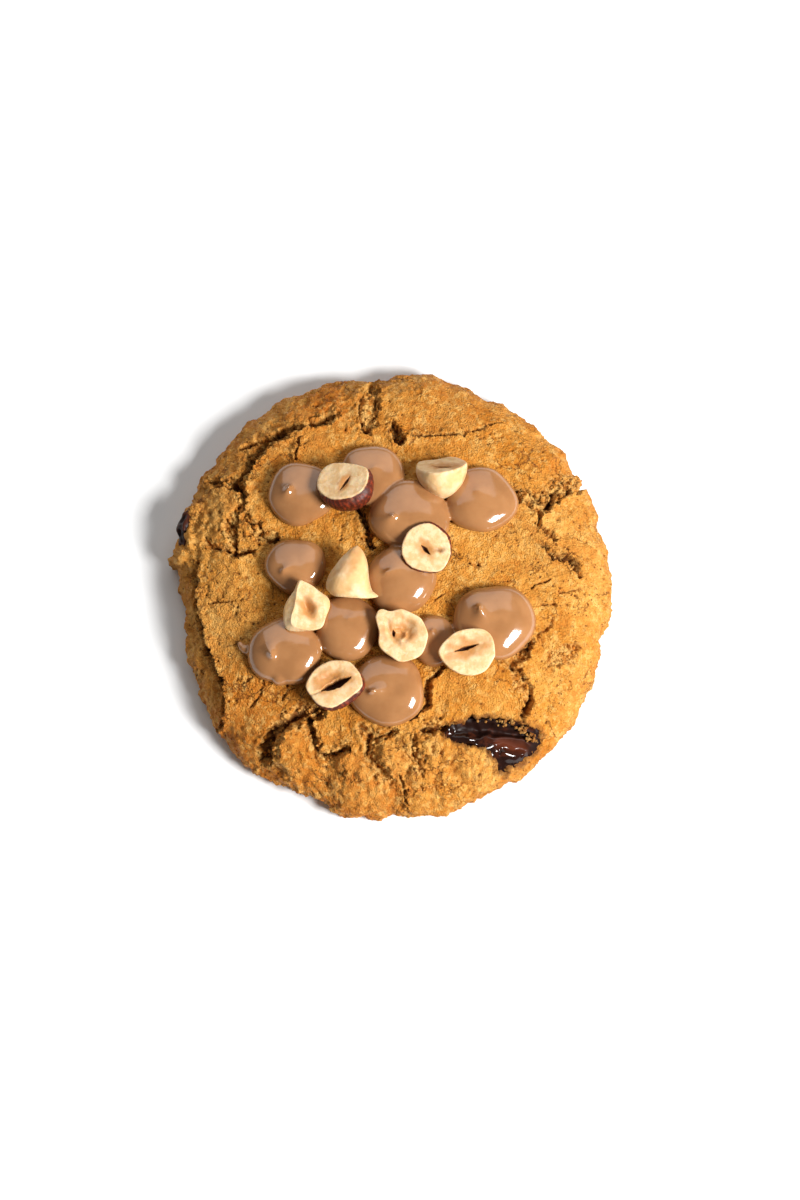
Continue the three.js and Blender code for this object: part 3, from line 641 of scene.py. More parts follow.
def crumb_grain_group():
    """Fine grain of baked dough: a height for bumps, and a mask of its dark pores."""
    group, size, place, leave = new_group("crumb_grain", "Grain Size", ("Height", "Pores"))
    scale = calculate(group, "DIVIDE", 1 / MM, size)
    fine = add_node(group, "ShaderNodeTexNoise", Vector=place, Scale=scale, Detail=2.0, Roughness=0.55)
    bent = pushed_aside(group, place, fine.outputs["Color"], 0.45 * MM)
    holes = add_node(group, "ShaderNodeTexVoronoi", Vector=bent,
                     Scale=calculate(group, "MULTIPLY", scale, 0.3))
    hole_draw = add_node(group, "ShaderNodeSeparateColor", Color=holes.outputs["Color"])
    wide = calculate(group, "MULTIPLY", hole_draw.outputs[1], 0.1)
    open_hole = mask_from(group, calculate(group, "SUBTRACT", holes.outputs["Distance"], wide),
                          0.04, 0.09, 1.0, 0.0)
    pores = calculate(group, "MULTIPLY", open_hole, mask_from(group, hole_draw.outputs[0], 0.4, 0.42))
    feed(group, leave, Height=calculate(group, "SUBTRACT", fine.outputs["Fac"], pores), Pores=pores)
    return group


def flake_group():
    """Thin plates of broken skin with ragged edges: each one's height, and its tint."""
    group, size, place, leave = new_group("crust_flakes", "Flake Size", ("Height", "Tint"))
    scale = calculate(group, "DIVIDE", 1 / MM, size)
    ragged = add_node(group, "ShaderNodeTexNoise", Vector=place, Detail=4.0, Roughness=0.7,
                      Scale=calculate(group, "MULTIPLY", scale, 1.3)).outputs["Color"]
    bent = pushed_aside(group, place, ragged, calculate(group, "MULTIPLY", size, 1.6 * MM))
    cells = add_node(group, "ShaderNodeTexVoronoi", Vector=bent, Scale=scale)
    draw = add_node(group, "ShaderNodeSeparateColor", Color=cells.outputs["Color"])
    feed(group, leave, Height=draw.outputs[0], Tint=draw.outputs[1])
    return group


def crazing_group():
    """Thin broken cracks in a baked skin: 1 on the lines, which come and go over the surface."""
    group, size, place, leave = new_group("crust_crazing", "Cell Size", ("Lines",))
    scale = calculate(group, "DIVIDE", 1 / MM, size)
    ragged = add_node(group, "ShaderNodeTexNoise", Vector=place, Detail=3.0, Roughness=0.65,
                      Scale=calculate(group, "MULTIPLY", scale, 2.2)).outputs["Color"]
    bent = pushed_aside(group, place, ragged, 3.2 * MM)
    cells = add_node(group, "ShaderNodeTexVoronoi", {"feature": "DISTANCE_TO_EDGE"},
                     Vector=bent, Scale=scale)
    lines = mask_from(group, cells.outputs["Distance"], 0.008, 0.028, 1.0, 0.0)
    cracked = add_node(group, "ShaderNodeTexNoise", Vector=place, Detail=2.0,
                       Scale=calculate(group, "MULTIPLY", scale, 0.75)).outputs["Fac"]
    feed(group, leave, Lines=calculate(group, "MULTIPLY", lines, mask_from(group, cracked, 0.53, 0.6)))
    return group


CRUST_LIGHT = (0.80, 0.44, 0.118, 1)
CRUST_PALE = (0.69, 0.308, 0.052, 1)
CRUST_GOLD = (0.585, 0.215, 0.020, 1)
CRUST_TOASTED = (0.47, 0.120, 0.008, 1)
CRUMB_PALE = (0.74, 0.41, 0.112, 1)
CRUMB_BROWN = (0.50, 0.185, 0.026, 1)
# Painted shade for the cracks and pits.
CRACK_DARK = (0.105, 0.024, 0.003, 1)
# Painted shade for the pores and hair cracks.
PORE_BROWN = (0.20, 0.047, 0.005, 1)
SMEAR_BROWN = (0.12, 0.036, 0.012, 1)


def crust_material(grain_group, crazing, flakes):
    """Golden crust over pale crumb, with flakes, pores, hair cracks and toasted patches; painted shade
    darkens its cracks, pits, pores, hair cracks and dips, and painted light brightens patches on its
    left.
    """
    material, tree, shader = new_material("golden_crust")
    grain_node = add_node(tree, "ShaderNodeGroup", {"node_tree": grain_group}, Grain_Size=0.42)
    lines = add_node(tree, "ShaderNodeGroup", {"node_tree": crazing}, Cell_Size=6.5).outputs[0]
    dry = mask_from(tree, read_field(tree, "pale"), 0.04, 0.25)
    dry_lines = add_node(tree, "ShaderNodeGroup", {"node_tree": crazing}, Cell_Size=4.2).outputs[0]
    lines = calculate(tree, "MAXIMUM", lines, calculate(tree, "MULTIPLY", dry_lines, dry))
    wide_pores = add_node(tree, "ShaderNodeGroup", {"node_tree": grain_group}, Grain_Size=0.62)
    wide_pores = calculate(tree, "MULTIPLY", wide_pores.outputs["Pores"], dry)
    pores = calculate(tree, "MAXIMUM", grain_node.outputs["Pores"], wide_pores)
    plates = add_node(tree, "ShaderNodeGroup", {"node_tree": flakes}, Flake_Size=2.3).outputs
    chips = add_node(tree, "ShaderNodeGroup", {"node_tree": flakes}, Flake_Size=0.95).outputs
    broad = metre_noise(tree, 9, 3.0)
    small = metre_noise(tree, 1.5, 3.0, 0.6)
    speckle = metre_noise(tree, 0.5, 2.0, 0.6)
    patchy = calculate(tree, "ADD", calculate(tree, "MULTIPLY", broad, 0.7),
                       calculate(tree, "MULTIPLY", small, 0.5))
    crust = mix_colour(tree, mask_from(tree, patchy, 0.42, 0.78), CRUST_PALE, CRUST_GOLD)
    # Paler patches, and painted light on the left side.
    dusty = calculate(tree, "MULTIPLY", read_field(tree, "pale"), 0.55)
    crust = mix_colour(tree, dusty, crust, CRUST_LIGHT)
    # Browner on the toasted patches and the flank, and painted shade in the dips.
    toasted = calculate(tree, "MULTIPLY", read_field(tree, "toast"), mask_from(tree, small, 0.25, 0.6))
    crust = mix_colour(tree, toasted, crust, CRUST_TOASTED)
    crust = mix_colour(tree, mask_from(tree, speckle, 0.5, 0.7, 0.0, 0.4), crust, CRUST_TOASTED)
    tint = calculate(tree, "ADD", calculate(tree, "MULTIPLY", plates["Tint"], 0.5),
                     calculate(tree, "MULTIPLY", chips["Tint"], 0.5))
    crust = mix_colour(tree, mask_from(tree, tint, 0.5, 0.9, 0.0, 0.7), crust, CRUST_LIGHT)
    crust = mix_colour(tree, mask_from(tree, tint, 0.45, 0.05, 0.0, 0.35), crust, CRUST_TOASTED)
    inner = mix_colour(tree, mask_from(tree, metre_noise(tree, 1.8, 3.0), 0.38, 0.62),
                       CRUMB_PALE, CRUMB_BROWN)
    colour = mix_colour(tree, read_field(tree, "crumb"), crust, inner)
    colour = mix_colour(tree, calculate(tree, "MULTIPLY", read_field(tree, "smear"), 0.75), colour,
                        SMEAR_BROWN)
    # Painted shade in the pores and hair cracks.
    holes = calculate(tree, "MAXIMUM", calculate(tree, "MULTIPLY", pores, 0.8),
                      calculate(tree, "MULTIPLY", lines, 0.65))
    colour = mix_colour(tree, holes, colour, PORE_BROWN)
    # Painted shade: the deeper a crack or pit, the darker the crust is painted.
    dark = mask_from(tree, read_field(tree, "deep"), 0.1, 1.0, 0.0, 0.93)
    colour = mix_colour(tree, dark, colour, CRACK_DARK)
    lines_bump = add_node(tree, "ShaderNodeBump", {"invert": True}, Strength=0.8, Distance=0.35 * MM,
                          Height=lines)
    steps = calculate(tree, "ADD", calculate(tree, "MULTIPLY", plates["Height"], 0.6),
                      calculate(tree, "MULTIPLY", chips["Height"], 0.35))
    steps = calculate(tree, "MULTIPLY", steps, mask_from(tree, broad, 0.4, 0.55, 0.35, 1.0))
    steps_bump = add_node(tree, "ShaderNodeBump", Strength=1.0, Distance=0.5 * MM, Height=steps,
                          Normal=lines_bump.outputs["Normal"])
    grain_height = calculate(tree, "SUBTRACT", grain_node.outputs["Height"], wide_pores)
    bump = add_node(tree, "ShaderNodeBump", Strength=1.0, Distance=0.82 * MM,
                    Height=grain_height, Normal=steps_bump.outputs["Normal"])
    feed(tree, shader, Base_Color=colour, Roughness=mask_from(tree, small, 0.3, 0.7, 0.5, 0.75),
         Normal=bump.outputs["Normal"], Specular_IOR_Level=0.16)
    return material


grain_group = crumb_grain_group()
golden_crust = crust_material(grain_group, crazing_group(), flake_group())
dough.data.materials.append(golden_crust)
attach(dough, "root")
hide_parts("cookie")

# ------------------------------------------------------------------------------ loose crumbs
# Crumbs of the inner dough that broke off as the crust cracked. They lie in the cracks, along
# their broken edges and on the melted chocolate, stuck where they fell.
CRUMB_COUNT = 900
CRUMB_SEED = 5
CRUMB_SIZES = (0.35, 1.15)
# Crumbs on the melted chunk, and the line along which they stuck.
STUCK_COUNT = 60
STUCK_ALONG = ((18, -35.4), (24, -34.9), (29.5, -35.6), (32.6, -37.0), (33.8, -38.8))


def icosphere(subdivisions):
    """Corners and triangles of a unit ball."""
    ball = bmesh.new()
    bmesh.ops.create_icosphere(ball, subdivisions=subdivisions, radius=1)
    points = np.array([vert.co[:] for vert in ball.verts])
    faces = np.array([[vert.index for vert in face.verts] for face in ball.faces])
    ball.free()
    return points, faces


def scatter_crumbs():
    """Corners and faces of small lumpy crumbs, strewn over the open crumb and the chocolate."""
    draw = np.random.default_rng(CRUMB_SEED)
    exposed = (open_crumb > 0.6) & (dough_surface[:, 2] > 5) & (deep < 0.95)
    weight = np.where(exposed, 1.0, 0.0)
    picks = draw.choice(len(dough_surface), CRUMB_COUNT, p=weight / weight.sum())
    route = np.array(STUCK_ALONG)
    share = draw.uniform(0, 1, STUCK_COUNT) ** 0.6 * (len(route) - 1)
    stuck = np.column_stack([np.interp(share, range(len(route)), route[:, axis]) for axis in (0, 1)])
    stuck += draw.normal(size=stuck.shape) * (0.7, 0.55)
    stuck = np.column_stack([stuck, dome_height(*stuck.T) - 0.2])
    ball, ball_faces = icosphere(2)
    points, faces = [], []
    low, high = CRUMB_SIZES
    for n, spot in enumerate(np.concatenate([dough_surface[picks], stuck])):
        size = low + (high - low) * draw.uniform() ** (2.5 if n < CRUMB_COUNT else 0.8)
        stretch = draw.uniform(0.65, 1.0, 3) * size / 2
        lumpy = 1 + 0.5 * grain(ball + n * 3.1, 0.9, 21)
        turn = np.array(Matrix.Rotation(draw.uniform(0, 6.28), 3, Vector(draw.normal(size=3))))
        place = spot + draw.normal(size=3) * 0.12 + (0, 0, size * 0.12)
        points.append((ball * lumpy[:, None] * stretch) @ turn.T + place)
        faces.append(ball_faces + n * len(ball))
    return np.concatenate(points), np.concatenate(faces)


crumb_points, crumb_faces = scatter_crumbs()
crumbs = new_piece("loose_crumbs", crumb_points, crumb_faces.tolist())
crumb_tint = smooth_step(grain(crumb_points, 6, 22), -0.25, 0.25)
first_stuck = len(crumb_points) * CRUMB_COUNT / (CRUMB_COUNT + STUCK_COUNT)
is_stuck = np.arange(len(crumb_points)) >= first_stuck
nothing = np.zeros(len(crumb_points))
paint(crumbs, crumb=np.maximum(crumb_tint, is_stuck), deep=nothing, toast=nothing, pale=nothing,
      smear=0.65 * is_stuck)
crumbs.data.materials.append(golden_crust)
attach(crumbs, "root")

# --------------------------------------------------------------------------- dark chocolate
# Chunks of dark chocolate that melted in the oven: one lies open in the crust at the front,
# set with a wrinkled glossy skin, and one stands out of the left side.
CHUNK_PROUD = 0.25
CHUNK_DEPTH = 5.0
CHUNK_OVERLAP = 1.08
CHUNK_VOXEL = 0.22
# The folds it set in: rise, width, and the way each one runs.
CHUNK_FOLDS = (
    (-1.3, 1.1, ((15, -37.4), (21, -36.6), (27, -36.9), (32.5, -37.6))),
    (1.0, 0.8, ((18, -39.0), (24, -38.4), (29, -38.5), (33.4, -39.4))),
    (-0.8, 0.9, ((26, -41.6), (29.5, -40.6), (33, -41.2))),
    (1.1, 1.3, ((25.8, -43.2), (28.5, -42.4), (31.5, -42.6))),
)
# The flat place between the folds, which shows warmer.
CHUNK_PLATEAU = ((25.2, -39.7), (31.5, -40.6))
SIDE_CHUNK_AT = (-52.5, 15.6, 8.2)
SIDE_CHUNK_SIZE = (5.2, 8.8, 6.4)
SIDE_CHUNK_LEAN = 0.35
CHOCOLATE_DARK = (0.012, 0.0036, 0.0022, 1)
CHOCOLATE_BROWN = (0.085, 0.019, 0.007, 1)


def solid_from(piece, voxel_mm, smoothing):
    """Fuses overlapping closed meshes into one skin and softens the creases."""
    remesh = piece.modifiers.new("fuse", "REMESH")
    remesh.mode = "VOXEL"
    remesh.voxel_size = voxel_mm * MM
    soften = piece.modifiers.new("soften", "SMOOTH")
    soften.factor = 0.5
    soften.iterations = smoothing
    graph = bpy.context.evaluated_depsgraph_get()
    fused = bpy.data.meshes.new_from_object(piece.evaluated_get(graph))
    piece.modifiers.clear()
    old, piece.data = piece.data, fused
    fused.name = old.name
    bpy.data.meshes.remove(old)
    piece.data.shade_smooth()
    return piece


def read_points(piece):
    """Corners of a piece in millimetres from the cookie's middle."""
    flat = np.zeros(len(piece.data.vertices) * 3)
    piece.data.vertices.foreach_get("co", flat)
    return flat.reshape(-1, 3) / MM + MIDDLE


def write_points(piece, points):
    """Puts a piece's corners back where they are given, in millimetres."""
    piece.data.vertices.foreach_set("co", ((points - MIDDLE) * MM).ravel())
    piece.data.update()


def front_chunk():
    """The melted chunk: a slab to the pocket's outline, with the folds it set in."""
    outline = np.array(CHUNK_OUTLINE, float)
    count = len(outline)
    middle = outline.mean(axis=0)
    outline = middle + (outline - middle) * CHUNK_OVERLAP
    top = np.column_stack([outline, dome_height(*outline.T) + CHUNK_PROUD])
    low = np.column_stack([outline, dome_height(*outline.T) - CHUNK_DEPTH])
    ring = list(range(count))
    faces = [ring, [i + count for i in reversed(ring)]]
    faces += [(i, i + count, (i + 1) % count + count, (i + 1) % count) for i in ring]
    piece = new_piece("front_chocolate", np.concatenate([top, low]), faces)
    solid_from(piece, CHUNK_VOXEL, 8)
    points = read_points(piece)
    x, y = points[:, 0], points[:, 1]
    level = dome_height(x, y) + CHUNK_PROUD
    upper = smooth_step(points[:, 2] - level, -2.5, -0.6)
    bend_x = x + 1.1 * grain(points * (1, 1, 0), 3.0, 35)
    bend_y = y + 1.1 * grain(points * (1, 1, 0), 3.0, 36)
    folds = -1.0 + 0.4 * grain(points * (1, 1.6, 0.3), 4.5, 31)
    folds += (0.05 + 0.5 * smooth_step(y, -39.0, -37.0)) * grain(points * (1, 1, 0.3), 1.5, 32)
    for rise, wide, route in CHUNK_FOLDS:
        away, passed, _ = along_route(bend_x, bend_y, route)
        folds += rise * np.exp(-(away / wide) ** 2) * np.sin(np.pi * np.clip(passed, 0.1, 0.9)) ** 0.5
    points[:, 2] += upper * folds
    write_points(piece, points)
    away = along_route(bend_x, bend_y, CHUNK_PLATEAU)[0]
    paint(piece, gloss=smooth_step(y + 0.25 * (x - 26), -38.4, -40.4), warm=np.exp(-(away / 1.5) ** 2))
    return piece


def side_chunk():
    """The chunk at the side: a lumpy egg that stands half out of the dough."""
    ball, faces = icosphere(5)
    lumpy = 0.96 + 0.45 * grain(ball, 0.8, 33) + 0.22 * grain(ball, 0.35, 34)
    points = ball * lumpy[:, None] * np.array(SIDE_CHUNK_SIZE) / 2
    points[:, 0] += SIDE_CHUNK_LEAN * ball[:, 1]
    piece = new_piece("side_chocolate", points + SIDE_CHUNK_AT, faces.tolist())
    paint(piece, gloss=np.full(len(points), 0.25), warm=0.6 * smooth_step(lumpy, 0.9, 1.1))
    return piece


def chocolate_material():
    """Dark chocolate: glossy at the chunk's front, duller behind, and warmer where it is flat."""
    material, tree, shader = new_material("melted_dark_chocolate")
    bloom = metre_noise(tree, 2.4, 3.0)
    brown = calculate(tree, "MULTIPLY", mask_from(tree, bloom, 0.5, 0.7), 0.5)
    colour = mix_colour(tree, calculate(tree, "MAXIMUM", brown, read_field(tree, "warm")),
                        CHOCOLATE_DARK, CHOCOLATE_BROWN)
    ripples = metre_noise(tree, 0.9, 2.0)
    bump = add_node(tree, "ShaderNodeBump", Strength=0.12, Distance=0.3 * MM, Height=ripples)
    gloss = read_field(tree, "gloss")
    feed(tree, shader, Base_Color=colour, Roughness=mask_from(tree, gloss, 0.0, 1.0, 0.5, 0.1),
         Normal=bump.outputs["Normal"],
         Specular_IOR_Level=mask_from(tree, gloss, 0.0, 1.0, 0.1, 0.4))
    return material


dark_chocolate = chocolate_material()
for chunk, node_name in ((front_chunk(), "chocolate_chunk_front"),
                         (side_chunk(), "chocolate_chunk_side")):
    chunk.data.materials.append(dark_chocolate)
    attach(chunk, "root")
    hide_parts(node_name)

# --------------------------------------------------------------------------- hazelnut cream
# Soft hazelnut cream piped on in drops. Each drop settled into a low dome with a bulging side,
# its tip sank back where the bag broke away, and drops that touch have run together.
DROP_SIDES = 120
DROP_RINGS = 56
DROP_UNDERCUT = -0.35
DROP_SINK = 1.3
CREAM_VOXEL = 0.32
# Curls where the bag was pulled away: middle, direction, length, width, and lift off the crust.
CURLS = (
    (-36.9, -17.0, 158, 4.2, 2.6, 0.8), (-38.4, -16.0, 115, 2.6, 1.7, 1.1),
    (-28.6, -23.7, 80, 5.6, 5.0, 1.4),
)
CREAM_LIGHT = (0.375, 0.170, 0.063, 1)
CREAM_DARK = (0.315, 0.138, 0.049, 1)


def lathe_faces(sides, rings):
    """Faces of a closed lathe whose first and last corners lie on the axis."""
    turn = np.arange(sides)
    after = (turn + 1) % sides
    faces = [(0, 1 + b, 1 + a) for a, b in zip(turn.tolist(), after.tolist())]
    for ring in range(rings - 1):
        low, high = 1 + ring * sides, 1 + (ring + 1) * sides
        faces += np.stack([low + turn, low + after, high + after, high + turn], axis=1).tolist()
    last = 1 + (rings - 1) * sides
    faces += [(last + a, last + b, last + sides) for a, b in zip(turn.tolist(), after.tolist())]
    return faces


def drop_points(x, y, wide, long, tall, tip):
    """Corners of one drop, as a lathe with a soft tip that trails off to one side."""
    swing = np.linspace(DROP_UNDERCUT, math.pi / 2, DROP_RINGS + 1)
    radius = np.cos(swing[:-1]) ** 0.75
    level = (np.sin(swing) - math.sin(DROP_UNDERCUT)) / (1 - math.sin(DROP_UNDERCUT))
    around = np.linspace(0, 2 * math.pi, DROP_SIDES, endpoint=False)
    radius = np.concatenate([[0.88], radius])
    level = np.concatenate([[-DROP_SINK / tall], level])
    ring_x = (radius[:, None] * np.cos(around) * wide / 2).ravel()
    ring_y = (radius[:, None] * np.sin(around) * long / 2).ravel()
    height = np.repeat(level[:-1], DROP_SIDES)
    px = np.concatenate([[0], ring_x, [0]])
    py = np.concatenate([[0], ring_y, [0]])
    share = np.concatenate([[-DROP_SINK / tall], height, [1]])
    angle = np.arctan2(py, px)
    edge = 1 + 0.035 * np.sin(3 * angle + x) + 0.02 * np.sin(5 * angle + y)
    px, py = px * edge + x, py * edge + y
    tip_x, tip_y, rise, width, trail, reach = tip
    way = np.array((math.cos(math.radians(trail)), math.sin(math.radians(trail))))
    from_tip = np.stack([px - x - tip_x, py - y - tip_y])
    along = way @ from_tip
    aside = np.abs(way[0] * from_tip[1] - way[1] * from_tip[0])
    passed = np.clip(along / reach, 0, 1)
    ridge = np.exp(-(aside / (width * (0.45 + 1.2 * passed))) ** 1.5) * (1 - passed) ** 1.4
    ridge *= np.exp(-(np.minimum(along, 0) / (0.55 * width)) ** 2)
    peak = rise * ridge * smooth_step(share, 0.3, 0.8)
    height = dome_height(px, py) + share * tall + peak
    return np.column_stack([px, py, height])


def cream_piece():
    """All the drops and curls, fused where they touch."""
    one_drop = lathe_faces(DROP_SIDES, DROP_RINGS + 1)
    points, faces = [], []
    for drop in DROPS:
        start = sum(len(part) for part in points)
        points.append(drop_points(*drop))
        faces += [[corner + start for corner in face] for face in one_drop]
    ball, ball_faces = icosphere(3)
    for x, y, turn, long, wide, lift in CURLS:
        start = sum(len(part) for part in points)
        spin = np.array(Matrix.Rotation(math.radians(turn), 3, "Z"))
        lobe = (ball * (long / 2, wide / 2, wide / 2)) @ spin.T
        height = dome_height(np.array([x]), np.array([y]))[0] + lift
        points.append(lobe + (x, y, height))
        faces += (ball_faces + start).tolist()
    piece = new_piece("hazelnut_cream", np.concatenate(points), faces)
    solid_from(piece, CREAM_VOXEL, 5)
    return piece


def cream_material():
    """Smooth glossy cream, faintly streaked, that lets a little light in."""
    material, tree, shader = new_material("glossy_hazelnut_cream")
    streaks = metre_noise(tree, 5.5, 3.0, 0.45)
    colour = mix_colour(tree, mask_from(tree, streaks, 0.35, 0.68), CREAM_LIGHT, CREAM_DARK)
    soft = metre_noise(tree, 3.2, 2.0, 0.4)
    bump = add_node(tree, "ShaderNodeBump", Strength=0.12, Distance=0.4 * MM, Height=soft)
    feed(tree, shader, Base_Color=colour, Roughness=mask_from(tree, soft, 0.3, 0.7, 0.08, 0.14),
         Normal=bump.outputs["Normal"], Specular_IOR_Level=0.85, Subsurface_Weight=0.06,
         Subsurface_Radius=(1.0, 0.5, 0.3), Subsurface_Scale=1.2 * MM)
    return material


cream = cream_piece()
cream.data.materials.append(cream_material())
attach(cream, "root")
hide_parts(*[f"cream_drop_{i + 1}" for i in range(len(DROPS))])

# -------------------------------------------------------------------------------- hazelnuts
# Roasted hazelnuts, split and chopped by hand and pressed into the cream. A split kernel shows
# its smooth ivory cut face with the slit between its two lobes, browned by the pith and darkened
# with painted shade, and some keep their thin red-brown skin. Each piece is its own mesh.

# For each piece: the middle of its cut face and the way it faces; the outline of the face, to
# the right and to the back of that middle; its depth, and how fast it narrows on the way down
# (start, end); where the body swells past the face (direction, size, spread); the slit (place,
# direction, length, width, depth) and the hollow around it (place, direction, length, width,
# depth), both empty where there is none; lines on the face (route, rise, width, and stain, which
# is partly painted shade in the groove); and how much of its skin is left.
KERNELS = (
    dict(at=(-13.3, 23.9, 24.8), facing=(-0.25, 0.33, 0.91), deep=9.4, narrowing=(2.2, 0.5),
         face=((6.6, 2.0), (5.9, -2.7), (3.1, -4.9), (-1.2, -5.3), (-4.2, -3.9), (-6.5, -0.8),
               (-5.7, 3.7), (-2.4, 5.9), (3.7, 4.3)),
         swells=((295, 1.5, 55),), slit=(0.7, -0.7, 56, 4.8, 0.75, 0.9),
         hollow=(0.5, -0.6, 56, 6.5, 2.6, 0.2), lines=(), skin=1.0),
    dict(at=(11.7, 28.6, 22.6), facing=(-0.1, 0.84, 0.53), deep=8.8, narrowing=(1.8, 0.62),
         face=((6, -0.5), (3.9, 4.7), (1.8, 6.4), (-1.8, 5.3), (-6.1, 4.6), (-6.3, -1.5),
               (-2.8, -5.9), (2.6, -5.2)),
         swells=((200, 0.5, 40),), slit=(-0.1, -0.7, -18, 5.8, 1.2, 1.0),
         hollow=(0.2, -0.9, -18, 8.5, 4.5, 0.5), lines=(), skin=0.0),
    dict(at=(7.5, 7.4, 23.8), facing=(0.03, -0.08, 1), deep=6.6, narrowing=(2.4, 0.5),
         face=((5.9, 0), (4.8, 3), (0.8, 5.8), (-4.1, 4.1), (-6.1, -0.8), (-4.2, -4.7), (0, -6.2),
               (3.7, -5.9), (5.9, -2.4)),
         swells=((50, 0.75, 38), (225, 0.35, 30)), slit=(-0.15, -0.8, -48, 3.4, 0.9, 1.4),
         hollow=(-0.2, -0.6, -48, 5.2, 3.6, 0.35),
         lines=((((2.4, -0.8), (3.4, -1.1), (4.1, -0.7)), -0.45, 0.6, 0.95),
                (((2.2, -1.3), (3.4, -1.6)), 0.2, 0.5, 0.1)), skin=1.0),
    dict(at=(-10.3, -4.3, 20.6), facing=(-0.06, -0.937, -0.34), deep=12.4, narrowing=(1.6, 0.68),
         face=((6.1, 0), (4.2, 4), (0, 5.3), (-4.4, 4.3), (-6, 0), (-4.2, -4.2), (0.4, -5.4),
               (4.6, -3.4)),
         swells=((180, 1.6, 50), (0, -2.2, 36)), slit=(), hollow=(),
         lines=(), skin=0.0),
    dict(at=(-21.8, -7.6, 23.6), facing=(0.1, -0.1, 1), deep=6.8, narrowing=(2.2, 0.5),
         face=((4.4, 0.4), (2.5, 4), (-0.4, 5.9), (-2.1, 6), (-3.3, 0.6), (-4.1, -4.7), (0, -6.1),
               (3.9, -4.9)),
         swells=((172, 2.0, 34), (18, 1.6, 24), (215, 1.0, 22)), slit=(),
         hollow=(0.1, -0.3, -62, 6.6, 3.8, 1.4),
         lines=((((-0.6, 1.6), (-0.2, -0.2), (0.7, -1.4)), -0.35, 0.7, 0.5),), skin=0.0),
    dict(at=(1.6, -14.6, 23.8), facing=(0.0, -0.1, 1), deep=6.6, narrowing=(2.4, 0.5),
         face=((6.1, 0.5), (4.4, 3.9), (0.1, 6), (-2.8, 5.6), (-5.5, 6), (-6.6, 4), (-5.8, 0.5),
               (-5.8, -3), (-3.4, -5.4), (-0.3, -7), (4.4, -5.4), (6.1, -1.6)),
         swells=(), slit=(-2.2, 0.1, 100, 1.9, 0.8, 1.1), hollow=(-0.2, 0.7, 20, 7.8, 6.6, 1.7),
         lines=((((-2.2, 0.7), (-0.4, 1), (0.8, 0.4), (0.7, -0.8), (-0.2, -1.6), (-1.6, -1.0)),
                 0.55, 0.45, 0.3),
                (((-3.5, 3.2), (-3.4, 1.2), (-2.6, -0.6), (-1, -2.4)), -0.5, 0.6, 0.5),
                (((0.3, 3.3), (1.6, 2.6), (2.8, 1.2)), -0.35, 1.0, 0.35)), skin=0.0),
    dict(at=(17.7, -19.1, 23.8), facing=(0.03, -0.1, 1), deep=6.4, narrowing=(2.4, 0.5),
         face=((6.6, 0), (6.1, 3.3), (3.8, 5.4), (0, 5.6), (-4, 4.1), (-7.3, -0.2), (-4, -4.5),
               (0, -5.9), (4, -4.9), (6.4, -1.6)),
         swells=(), slit=(-0.4, 0.9, 17, 6.4, 1.05, 1.5), hollow=(-0.3, 0.8, 15, 10, 5, 0.55),
         lines=((((-6, -0.7), (-3.2, 0.1)), -0.18, 0.3, 0.25),
                (((2.4, 1.7), (5, 2.6)), -0.15, 0.35, 0.25)), skin=0.0),
    dict(at=(-15.2, -26.4, 22.6), facing=(-0.1, 0.06, 0.99), deep=6.4, narrowing=(2.4, 0.5),
         face=((7.1, -0.4), (4.6, 4.3), (1.6, 5.4), (-2, 5), (-5.2, 2.7), (-7, -1), (-5.6, -3.6),
               (-3.6, -5.9), (0, -6.4), (5.2, -3.2)),
         swells=((312, 0.8, 42),), slit=(0.5, -0.6, 24, 8.4, 2.5, 3.0),
         hollow=(-1.0, 0.6, 28, 8.6, 4.4, 0.8),
         lines=((((-3.2, -2.2), (-4.6, -2.9), (-6.6, -3.4)), -0.4, 0.3, 0.4),
                (((-3.2, 0.9), (-1.4, 1.5), (0.4, 1.1)), -0.35, 0.6, 0.55)), skin=1.0),
)
KERNEL_SIDES = 132
FACE_RINGS = 30
RIM_ROUND = 0.35
BODY_RINGS = 20
NUT_IVORY = (0.78, 0.565, 0.32, 1)
NUT_CREAM = (0.73, 0.445, 0.19, 1)
NUT_FACE = (0.70, 0.44, 0.20, 1)
# Tan for stains and rubbed skin, also painted shade in the hollows and grooves.
NUT_TAN = (0.50, 0.20, 0.042, 1)
# Dark pith, also painted shade in the slits' cavities.
PITH_DARK = (0.075, 0.018, 0.007, 1)
SKIN_RED = (0.26, 0.031, 0.005, 1)
SKIN_DARK = (0.06, 0.009, 0.003, 1)


def kernel_turn(facing):
    """Turns from a kernel's own frame, face up, to how it lies on the cookie."""
    up = Vector(facing).normalized()
    across = (Vector((1, 0, 0)) - up * up.x).normalized()
    return np.array([across, up.cross(across), up]).T


def smooth_loop(corners, count):
    """Even points along a smooth closed curve through the given corners."""
    corners = np.array(corners, float)
    t = np.linspace(0, 1, 12, endpoint=False)[:, None]
    a, b, c, d = (np.roll(corners, shift, axis=0) for shift in (1, 0, -1, -2))
    parts = [b[i] + 0.5 * t * (c[i] - a[i] + t * (2 * a[i] - 5 * b[i] + 4 * c[i] - d[i]
             + t * (3 * (b[i] - c[i]) + d[i] - a[i]))) for i in range(len(corners))]
    curve = np.concatenate(parts + [corners[:1]])
    run = np.concatenate([[0], np.cumsum(np.hypot(*np.diff(curve, axis=0).T))])
    even = np.linspace(0, run[-1], count, endpoint=False)
    return np.column_stack([np.interp(even, run, curve[:, 0]), np.interp(even, run, curve[:, 1])])


